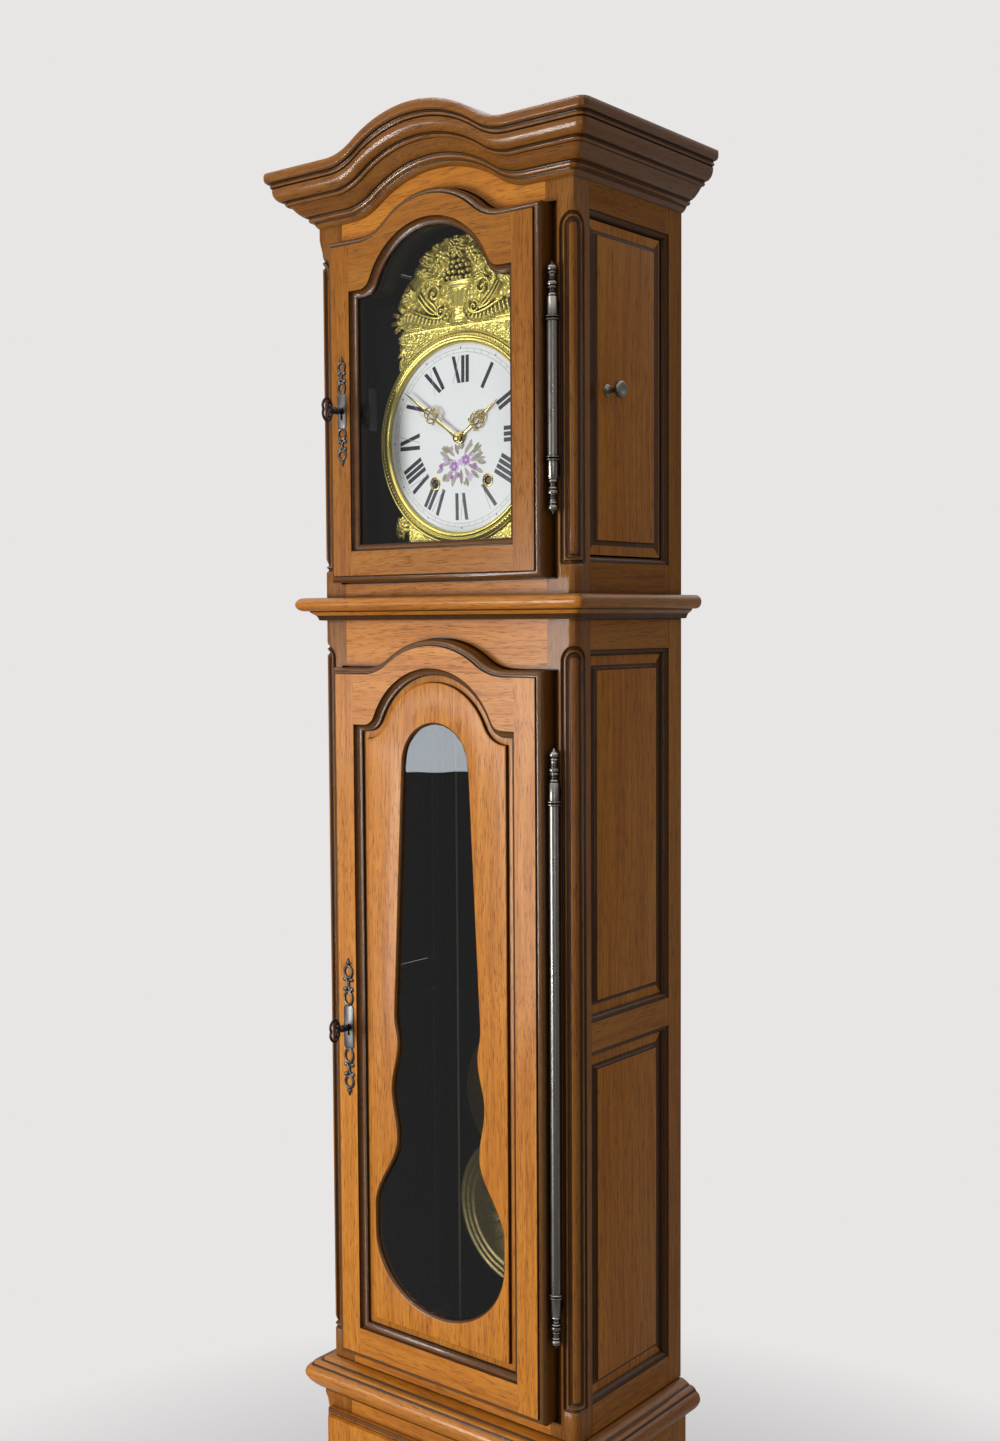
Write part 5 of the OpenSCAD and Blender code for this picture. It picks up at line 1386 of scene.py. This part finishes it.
class Relief:
    """Heights of an embossed sheet on a grid; x and z count from its centre."""

    def __init__(self, x0, x1, z0, z1, step):
        self.x, self.z = np.meshgrid(np.arange(x0, x1 + step / 2, step), np.arange(z0, z1 + step / 2, step))
        self.h = np.full(self.x.shape, -1.0)
        self.grain = np.random.default_rng(GRAIN_SEED).random(self.x.shape)

    def put(self, inside, h):
        self.h = np.where(inside, np.maximum(self.h, SHEET + np.maximum(h, 0)), self.h)

    def dome(self, x, z, r, top):
        d = np.hypot(self.x - x, self.z - z) / r
        self.put(d < 1, top * np.sqrt(np.maximum(1 - d * d, 0)))

    def leaf(self, x, z, degrees, length, width, top):
        """A leaf from its stalk; degrees count clockwise from upright."""
        a = math.radians(degrees)
        dx, dz = self.x - x, self.z - z
        s = (dx * math.sin(a) + dz * math.cos(a)) / length
        t = dx * math.cos(a) - dz * math.sin(a)
        along = np.clip(s, 0.001, 0.999)
        half = width / 2 * np.sin(math.pi * along ** 0.8) ** 0.8
        half = half * (0.82 + 0.18 * np.abs(np.cos(math.pi * LOBES * along)))
        inside = (s > 0) & (s < 1) & (np.abs(t) < half)
        across = np.clip(np.abs(t) / np.maximum(half, 0.01), 0, 1)
        h = top * (0.45 + 0.55 * np.sin(math.pi * along)) * (1 - across ** 2) ** 0.5
        h -= 0.4 * top * np.exp(-(t / 0.9) ** 2)
        h -= 0.14 * top * (0.5 + 0.5 * np.cos(2 * math.pi * (LOBES * 1.5 * along - 0.22 * np.abs(t))))
        self.put(inside, h)

    def flower(self, x, z, r, petals, top, turn=0.0):
        dx, dz = self.x - x, self.z - z
        rho, theta = np.hypot(dx, dz), np.arctan2(dx, dz) + turn
        lobe = np.abs(np.cos(petals * theta / 2))
        edge = r * (0.62 + 0.38 * lobe ** 0.6)
        h = top * (0.25 + 0.75 * np.sin(math.pi * np.clip(rho / edge, 0, 1) ** 0.8))
        self.put(rho < edge, h * (0.55 + 0.45 * lobe ** 0.5))
        self.dome(x, z, r * 0.3, top * 1.05)

    def rope(self, path, radii, top, rib=0.0, depth=0.0):
        """A rounded ridge along a path, ribbed across if rib is given."""
        p = np.array(smooth(path), float)
        widths = np.interp(np.linspace(0, 1, len(p)), np.linspace(0, 1, len(radii)), radii)
        run = np.concatenate([[0], np.cumsum(np.linalg.norm(np.diff(p, axis=0), axis=1))])
        best = np.full(self.x.shape, 9.0)
        arc = np.zeros(self.x.shape)
        for i in range(len(p) - 1):
            a, d = p[i], p[i + 1] - p[i]
            size = float(d @ d) or 1e-9
            t = np.clip(((self.x - a[0]) * d[0] + (self.z - a[1]) * d[1]) / size, 0, 1)
            away = np.hypot(self.x - a[0] - t * d[0], self.z - a[1] - t * d[1]) / widths[i]
            closer = away < best
            best = np.where(closer, away, best)
            arc = np.where(closer, run[i] + t * math.sqrt(size), arc)
        h = top * np.sqrt(np.maximum(1 - best ** 2, 0))
        if rib:
            h *= 1 - depth * (0.5 + 0.5 * np.cos(2 * math.pi * arc / rib))
        self.put(best < 1, h)

    def spiral(self, x, z, r, start, turns, width, top):
        """A volute that winds in towards its eye."""
        path = []
        for t in np.linspace(0, 1, 26):
            a = math.radians(start) + turns * 2 * math.pi * t
            size = r * (1 - 0.78 * t)
            path.append((x + size * math.cos(a), z + size * math.sin(a)))
        self.rope(path, [width, width * 0.6], top)
        self.dome(x, z, r * 0.24, top)

    def sheet(self, face, centre):
        """The sheet where there is metal, standing out from face towards -Y around a height."""
        shape = Shape()
        solid = self.h > 0
        number = np.full(self.x.shape, -1)
        number[solid] = np.arange(solid.sum())
        verts = [(x, face - h, centre + z) for x, z, h in zip(self.x[solid], self.z[solid], self.h[solid])]
        quad = [number[:-1, :-1], number[:-1, 1:], number[1:, 1:], number[1:, :-1]]
        keep = np.minimum.reduce(quad) >= 0
        shape.add(verts, np.stack([q[keep] for q in quad], 1).tolist())
        return shape


def smooth(path, n=8):
    """Points along a smooth curve through the given ones."""
    p = [np.array(q, float) for q in path]
    p = [2 * p[0] - p[1]] + p + [2 * p[-1] - p[-2]]
    out = []
    for a, b, c, d in zip(p, p[1:], p[2:], p[3:]):
        square, cube = 2 * a - 5 * b + 4 * c - d, 3 * b - a - 3 * c + d
        for t in np.linspace(0, 1, n, endpoint=False):
            out.append(0.5 * (2 * b + (c - a) * t + square * t ** 2 + cube * t ** 3))
    return out + [p[-2]]


def within(x, z, corners):
    """True inside a closed polygon."""
    inside = np.zeros(x.shape, bool)
    for (xa, za), (xb, zb) in zip(corners, corners[1:] + corners[:1]):
        inside ^= ((za > z) != (zb > z)) & (x < (xb - xa) * (z - za) / ((zb - za) or 1e-9) + xa)
    return inside


# The mask's ornament, in millimetres from the dial's centre: outlines and paths on the right side,
# leaves by place, degrees, length and width, flowers by place, radius and petals
SHEET_EDGE = [(88, 139), (97, 143), (104, 150), (98, 158), (90, 163), (98, 174), (103, 186), (99, 193),
              (84, 196), (74, 203), (67, 215), (60, 227), (46, 240), (26, 250), (0, 254)]
URN = [(139, 14.5), (144.5, 14.5), (145, 12.5), (149, 12), (150, 10), (154, 9), (160, 9.4), (167, 11),
       (173, 13.5), (179, 17), (184, 21), (186, 23.5), (190, 24), (191, 20)]
URN_RINGS = ((145.5, 0.9), (152, 0.9), (156, 0.7), (180.5, 0.9), (188.5, 1.2))
HORN = ((17, 160), (16, 150), (22, 144), (34, 142.5), (48, 144.5), (62, 149), (76, 153.5), (88, 154.5),
        (96, 150))
HORN_R = (2.6, 3.4, 4.4, 5.4, 6.4, 7.2, 7.8, 7.6, 5.6)
HORN_RIDGE = ((18, 163), (20, 151), (30, 147.5), (44, 150), (60, 156), (72, 161))
HORN_CURL = ((52, 180), (57, 190), (50, 196), (38, 197), (29, 192))
FLUTE = ((46, 156), (56, 165), (66, 178))
FLUTE_MOVES = ((0, 0), (-3.6, 3.6), (-7.0, 7.4))
HORN_LEAVES = ((70, 178, 58, 34, 9.0, 6.0), (70, 178, 76, 33, 9.0, 6.0), (70, 178, 95, 29, 9.0, 6.0),
               (70, 178, 114, 22, 9.0, 6.0), (70, 178, 40, 26, 9.0, 6.0), (92, 156, 70, 20, 8.0, 5.0),
               (95, 150, 95, 19, 8.0, 5.0), (92, 146, 125, 19, 8.0, 5.0), (88, 160, 40, 17, 8.0, 5.0),
               (90, 132, 105, 13, 5.5, 2.4), (89, 124, 80, 13, 5.5, 2.4), (92, 113, 130, 13, 5.5, 2.4),
               (93, 106, 160, 13, 5.5, 2.4), (88, 112, 60, 13, 5.5, 2.4), (96, 100, 180, 13, 5.5, 2.4))
SPRAYS = ((22, 190, 78, 26, 11), (14, 188, 150, 11, 7), (40, 200, 68, 36, 14), (44, 208, 92, 30, 13),
          (46, 212, 46, 28, 14), (38, 222, 66, 30, 14), (30, 230, 36, 26, 14), (16, 238, 18, 22, 13),
          (12, 218, 40, 22, 12), (28, 204, 30, 22, 12))
CROWN = ((0, 22, 12), (48, 20, 12), (-48, 20, 12), (96, 18, 11), (-96, 18, 11), (150, 18, 11),
         (-150, 18, 11))
FLOWERS = ((24, 222, 12.5, 6), (54, 205, 9.5, 5), (42, 193, 8, 5))
CORNER = (93, -107)
CORNER_LEAVES = ((150, 18), (120, 18), (90, 16), (60, 17), (30, 20), (0, 20), (-30, 17), (-180, 16))


def emboss_ground(r):
    """The uneven sheet behind the ornament, the stippled ground around the bezel and the ledge."""
    edge = SHEET_EDGE + mirrored(SHEET_EDGE[:-1])
    wave = 0.35 + 0.35 * np.sin(r.x * 0.55) * np.sin(r.z * 0.47) + 0.25 * (r.grain - 0.5)
    r.put(within(r.x, r.z, edge), wave)
    far = np.hypot(r.x, r.z) > 129.5
    upper = far & (np.abs(r.x) < 94 + 6 * r.grain) & (r.z > 66) & (r.z < 139)
    lower = far & (np.abs(r.x) < 84 + 5 * r.grain) & (r.z < -78) & (r.z > -134)
    r.put(upper | lower, 0.55 * (r.grain > 0.55))
    r.rope([(-88, 140), (0, 140.5), (88, 140)], [1.5], 1.7)
    r.rope([(-92, 135.5), (0, 136), (92, 135.5)], [0.9], 1.1)


def emboss_urn(r):
    """An urn with a gadrooned bowl on a stepped foot."""
    z = r.z
    half = np.interp(z, *zip(*URN))
    across = np.clip(r.x / half, -1, 1)
    h = 5.4 * np.sqrt(np.maximum(1 - across ** 2, 0))
    gadroon = 0.5 + 0.5 * np.cos(np.arcsin(across) * 9)
    h -= np.where((z > 157) & (z < 179), 0.9 * gadroon, 0)
    for ring, tall in URN_RINGS:
        h += tall * np.exp(-((z - ring) / 1.3) ** 2)
    r.put((z > URN[0][0]) & (z < URN[-1][0]) & (np.abs(r.x) < half), h)


def emboss_horn(r, s):
    """One cornucopia: a ribbed horn, its volutes, fluted leaves and the fringe at its mouth."""
    def rope(points, *looks):
        r.rope([(s * x, z) for x, z in points], *looks)

    rope(HORN, HORN_R, 6.4, 6.2, 0.5)
    rope(HORN_RIDGE, [1.5, 1.9, 2.0, 1.8, 1.2], 6.6)
    r.spiral(s * 26, 155, 7.5, 90, -s * 1.3, 2.0, 5.4)
    for i, (dx, dz) in enumerate(FLUTE_MOVES):
        flute = [(34 + dx * 0.2, 152.5 + dz * 0.2)] + [(x + dx, z + dz) for x, z in FLUTE]
        rope(flute, [1.4, 2.3, 2.6, 1.5], 4.6 - 0.5 * i)
    r.spiral(s * 38, 178, 12.5, 200 if s < 0 else -20, s * 1.2, 2.7, 5.2)
    rope(HORN_CURL, [2.6, 3.2, 3.4, 2.8, 1.6], 4.6, 4.5, 0.25)
    for x, z, degrees, length, width, top in HORN_LEAVES:
        r.leaf(s * x, z, s * degrees, length, width, top)


def emboss_bouquet(r):
    """Grapes, flowers and leaves heaped above the urn."""
    spray = random.Random(SPRAY_SEED)
    for x, z, degrees, length, width in SPRAYS:
        for s in (-1, 1):
            r.leaf(s * x, z, s * degrees, length, width, 6.6)
    r.leaf(0, 187, 180, 11, 7, 5.0)
    for row in range(4):
        for k in range(-3, 4):
            x = 7.4 * (k + 0.5 * (row % 2)) + spray.uniform(-1, 1)
            z = 193.5 + 6.4 * row + spray.uniform(-1, 1)
            if abs(x) < 24 - 2.2 * row:
                r.dome(x, z, spray.uniform(3.2, 3.9), spray.uniform(6.4, 8.0))
    for degrees, length, width in CROWN:
        r.leaf(0, 230, degrees, length, width, 7.6)
    for x, z, size, petals in FLOWERS:
        for s in (-1, 1):
            r.flower(s * x, z, size, petals, 7.0, s * spray.uniform(0, 1))
    r.flower(0, 230, 10, 6, 8.4, 0.3)


def emboss_corner(r, s):
    """A flower with fanned leaves in a lower corner."""
    x, z = CORNER
    for degrees, length in CORNER_LEAVES:
        r.leaf(s * x, z, s * degrees, length, 8.5, 5.0)
    r.flower(s * x, z, 9.5, 6, 6.0)


BOARD_R = 118
BEZEL_BEADS = 168
BEAD_AT = (124.2, MASK_FACE - 3.9)
BEZEL = (
    (117.2, 1.4), (115.0, 0.6), (114.6, -0.6), (115.2, -2.6), (116.6, -4.4), (118.2, -5.3), (119.6, -5.2),
    (120.6, -4.2), (121.0, -3.5), (121.8, -3.9), (124.2, -4.1), (126.4, -3.5), (127.4, -2.5), (127.7, -1.9),
    (128.2, -2.5), (129.2, -2.9), (130.3, -2.3), (130.9, -0.9), (131, 0.6), (125, 1.4))


def make_mask():
    relief = Relief(-118, 118, -134, 252, 0.8)
    emboss_ground(relief)
    emboss_urn(relief)
    for s in (-1, 1):
        emboss_horn(relief, s)
        emboss_corner(relief, s)
    emboss_bouquet(relief)
    head = np.vectorize(lambda x: ogee_height(x, *SIGHT_HEAD))(relief.x)
    relief.h[relief.z > HOOD_SIGHT[1] - 3 - DIAL_Z + head] = -1
    relief.h[np.hypot(relief.x, relief.z) < 127.5] = -1
    sheet = relief.sheet(MASK_FACE, DIAL_Z)
    obj = sheet.make("embossed_sheet", [BRASS], "case", "brass", ["dial_mask"], sharp=180)
    thick = obj.modifiers.new("sheet_metal", "SOLIDIFY")
    thick.thickness = 0.4 * MM
    thick.offset = -1


def make_mask_board():
    """The board that carries the mask, with a hole for the dial; its near-black colour is painted shade."""
    board = Shape()
    near, far = MASK_FACE + 0.02, MASK_FACE + 1.45
    outline = headed(SIGHT_HALF + 18.5, DIAL_Z - 140, HOOD_SIGHT[1] - 2, SIGHT_HEAD, 0)
    circle = ellipse(0, DIAL_Z, BOARD_R, BOARD_R, 0, 96)
    for y in (near, far):
        board.fill(at_y(outline, y), at_y(circle, y))
    for ring in (outline, circle):
        board.loft([at_y(ring, near), at_y(ring, far)])
    board.make("mask_board", [SHADE_BLACK], "case", "brass")


def make_bezel():
    """A turned ring with a row of beads around the dial."""
    bezel = Shape()
    bezel.lathe([(r, MASK_FACE + h) for r, h in BEZEL], along_y(0, DIAL_Z), segments=128, ring=True)
    r, y = BEAD_AT
    for x, z in ellipse(0, DIAL_Z, r, r, 0, BEZEL_BEADS):
        bezel.bead((x, y, z), (1.9, 1.3, 1.9), rings=5, segments=10)
    bezel.make("bezel", [BRASS_STIPPLED], "case", "brass", sharp=50)


BOB_RAYS = 16
BOB_RINGS = ((0.80, 2.4), (0.88, 1.6), (0.96, 2.6))


def make_bob():
    """The embossed front of the bob: a flower in rays, with rings around them."""
    low, high = box_mm("pendulum_bob")
    r = (high[0] - low[0]) / 2
    relief = Relief(-r, r, -r, r, 1.2)
    away = np.hypot(relief.x, relief.z)
    relief.put(away < r - 2, 0.5 * relief.grain)
    for k in range(BOB_RAYS):
        relief.leaf(0, 0, 360 / BOB_RAYS * k, 0.72 * r, 17, 3.4)
    for ring, wide in BOB_RINGS:
        across = (away - ring * r) / wide
        relief.put(np.abs(across) < 1, 3.0 * np.sqrt(np.maximum(1 - across ** 2, 0)))
    relief.flower(0, 0, 0.26 * r, 8, 5.0)
    sheet = relief.sheet(low[1], (low[2] + high[2]) / 2)
    sheet.make("embossed_bob", [BRASS_BOB], "pendulum", "brass", sharp=180)


# Inside: cords, movement, weights and pendulum

CORD_TURN = 14.0
STRAND_AT, STRAND_R = 0.72, 0.78
# The back board and the boards inside are darkened oak: painted shade.
INSIDE_LOOKS = (
    (OAK_BACK, ["back_board"]),
    (OAK_SHADED_INSIDE, ["roof_board", "seat_board", "base_floor"]),
    (PANE, ["hood_door_glass"]),
    (IRON, ["movement_cage", "bell_stand", "anchor", "hammer", "pendulum_rod", "trunk_lock", "hood_lock"]),
    (CAST, ["going_drum", "strike_drum", "going_weight", "strike_weight"]),
    (BRASS_PLAIN, ["hour_wheel", "centre_wheel", "minute_wheel", "going_great_wheel", "escape_wheel",
                   "strike_great_wheel", "pin_wheel", "bell", "trunk_bolt", "hood_bolt"]),
    (BRASS_BOB, ["pendulum_bob"]),
    (BRASS_PLATE, ["pendulum_plate"]))


def make_cord(side):
    """A twisted three-strand cord."""
    low, high = box_mm(side + "_cord")
    x, y = low[0] + 1.5, (low[1] + high[1]) / 2
    shape = Shape()
    turns = (high[2] - low[2]) / CORD_TURN
    count = int(turns * 8)
    for strand in range(3):
        path = []
        for t in np.arange(count + 1) / count:
            a = 2 * math.pi * (turns * t + strand / 3)
            z = low[2] + (high[2] - low[2]) * t
            path.append((x + STRAND_AT * math.cos(a), y + STRAND_AT * math.sin(a), z))
        shape.tube(path, STRAND_R, sides=6)
    obj = shape.make(side + "_rope", [HEMP], "case", "hemp", [side + "_cord"], sharp=80)
    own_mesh(obj)


def finish_inside():
    """Gives the CAD nodes that stay in sight their materials."""
    for material, names in INSIDE_LOOKS:
        for name in names:
            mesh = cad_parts[name].data
            mesh.materials.clear()
            mesh.materials.append(material)
    clear(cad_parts["hood_door_glass"])


# Floor, light and camera

BACKDROP = (0.807, 0.784, 0.784)
SOFT = (0.95, 0.97, 1.0)
FLOOR_R = 1.5
FLOOR_Z = -0.0005
ROOM = 0.24
ROOM_REAR = 0.5
CEILING = 2.2
AMBIENT = 0.28
EYE = (1.3004, -1.6330, 1.5306)
YAW, PITCH, ROLL = math.radians(38.54), math.radians(-3.45), math.radians(-0.34)
LENS, SENSOR = 41.0, 36.0


def make_floor():
    """A pale disc that fades into the backdrop away from the clock."""
    mesh = bpy.data.meshes.new("floor")
    rim = [(x, z, FLOOR_Z) for x, z in ellipse(0, 0, FLOOR_R, FLOOR_R, 0, 96)]
    mesh.from_pydata(rim, [], [list(range(len(rim)))])
    look = Look("floor_pale")
    away = look.add("VectorMath", [look.place()], operation="LENGTH").outputs["Value"]
    fade = look.grey(look.math("DIVIDE", away, FLOOR_R), 0.3, 0.95, 1.0, 0.0)
    look.dress({"Base Color": BACKDROP, "Roughness": 0.9, "Specular IOR Level": 0.0, "Alpha": fade})
    mesh.materials.append(look.material)
    floor = bpy.data.objects.new("floor", mesh)
    bpy.context.scene.collection.objects.link(floor)


def make_world():
    """A pale backdrop, a dim room in front of the clock and soft light all round."""
    world = bpy.data.worlds.new("studio")
    bpy.context.scene.world = world
    world.use_nodes = True
    world.node_tree.nodes.clear()
    sky = Graph(world.node_tree)

    def light(colour, strength):
        return sky.add("Background", {"Color": colour, "Strength": strength}).outputs[0]

    path = sky.add("LightPath").outputs
    _, y, z = sky.parts(sky.add("TexCoord").outputs["Generated"])
    sent = path["Is Transmission Ray"]
    through = sky.math("MULTIPLY", sent, sky.math("LESS_THAN", path["Glossy Depth"], 0.5))
    seen = sky.math("MAXIMUM", path["Is Camera Ray"], through)
    mirror = sky.math("MAXIMUM", path["Is Glossy Ray"], sky.math("SUBTRACT", sent, through))
    rear = sky.math("MULTIPLY", sky.math("ADD", y, 1.0), 0.5)
    above = sky.grey(z, 0.25, 0.55, 0.0, CEILING)
    around = sky.grey(rear, 0.4, 0.75, ROOM, ROOM_REAR)
    room = light(BACKDROP, sky.math("MAXIMUM", above, around))
    lit = sky.add("MixShader", [mirror, light(SOFT, AMBIENT), room]).outputs[0]
    shown = sky.add("MixShader", [seen, lit, light(BACKDROP, 1.0)]).outputs[0]
    sky.add("OutputWorld", [shown])


def make_lamp(name, place, aim, size, power, colour=(1, 1, 1), in_panes=False):
    """A soft lamp; only one with in_panes is mirrored in the panes."""
    lamp = bpy.data.lights.new(name, "AREA")
    lamp.shape = "RECTANGLE"
    lamp.size, lamp.size_y = size
    lamp.cycles.use_multiple_importance_sampling = in_panes
    lamp.energy = power
    lamp.color = colour
    obj = bpy.data.objects.new(name, lamp)
    obj.location = place
    obj.rotation_euler = (Vector(aim) - Vector(place)).to_track_quat("-Z", "Y").to_euler()
    bpy.context.scene.collection.objects.link(obj)


def make_camera():
    forward = Vector((-math.sin(YAW) * math.cos(PITCH), math.cos(YAW) * math.cos(PITCH), math.sin(PITCH)))
    right = Vector((math.cos(YAW), math.sin(YAW), 0))
    up = right.cross(forward)
    turned_right = right * math.cos(ROLL) + up * math.sin(ROLL)
    turned_up = up * math.cos(ROLL) - right * math.sin(ROLL)
    data = bpy.data.cameras.new("camera")
    data.lens = LENS
    data.sensor_width = SENSOR
    data.clip_start = 0.05
    camera = bpy.data.objects.new("camera", data)
    pose = Matrix((turned_right, turned_up, -forward)).transposed().to_4x4()
    pose.translation = EYE
    camera.matrix_world = pose
    bpy.context.scene.collection.objects.link(camera)
    bpy.context.scene.camera = camera


SIDES = ((-1, "left"), (1, "right"))


def build():
    make_trunk_front()
    make_hood_front()
    make_sides()
    for s, side in SIDES:
        make_side_door(s, side + "_side_door", "side_door_" + side)
    make_base()
    make_mouldings()
    make_door("trunk_door", TRUNK_DOOR, TRUNK_SIGHT, TRUNK_INNER, TRUNK_KEY_Z, OAK_DOOR)
    make_door("hood_door", HOOD_DOOR, HOOD_SIGHT, HOOD_INNER, HOOD_KEY_Z, OAK_HOOD_DOOR)
    make_trunk_panel()
    make_hinges()
    make_escutcheon("hood", HOOD_KEY_Z, 136, 15.5)
    make_escutcheon("trunk", TRUNK_KEY_Z, 178, 18.5)
    make_key("hood", HOOD_KEY_Z)
    make_key("trunk", TRUNK_KEY_Z)
    for s, side in SIDES:
        make_knob(s, side + "_side_door", "side_knob_" + side)
    make_dial()
    make_dial_paint()
    make_hands()
    make_mask()
    make_mask_board()
    make_bezel()
    make_bob()
    make_cord("going")
    make_cord("strike")
    finish_inside()


build()
make_floor()
make_world()
make_lamp("key", (-1.3, -2.6, 1.05), (0, 0, 1.1), (0.8, 1.4), 60)
make_lamp("overhead", (-0.7, -1.7, 3.3), (0, 0, 1.3), (1.3, 0.35), 9)
make_lamp("window", (-2.8, -3.4, 1.2), (0, 0, 1.3), (1.0, 0.5), 15, (0.86, 0.94, 1.0), True)
make_lamp("fill", (2.1, -2.2, 1.5), (0, 0, 1.2), (1.0, 1.6), 10)
make_camera()
bpy.context.scene.view_settings.view_transform = "Standard"
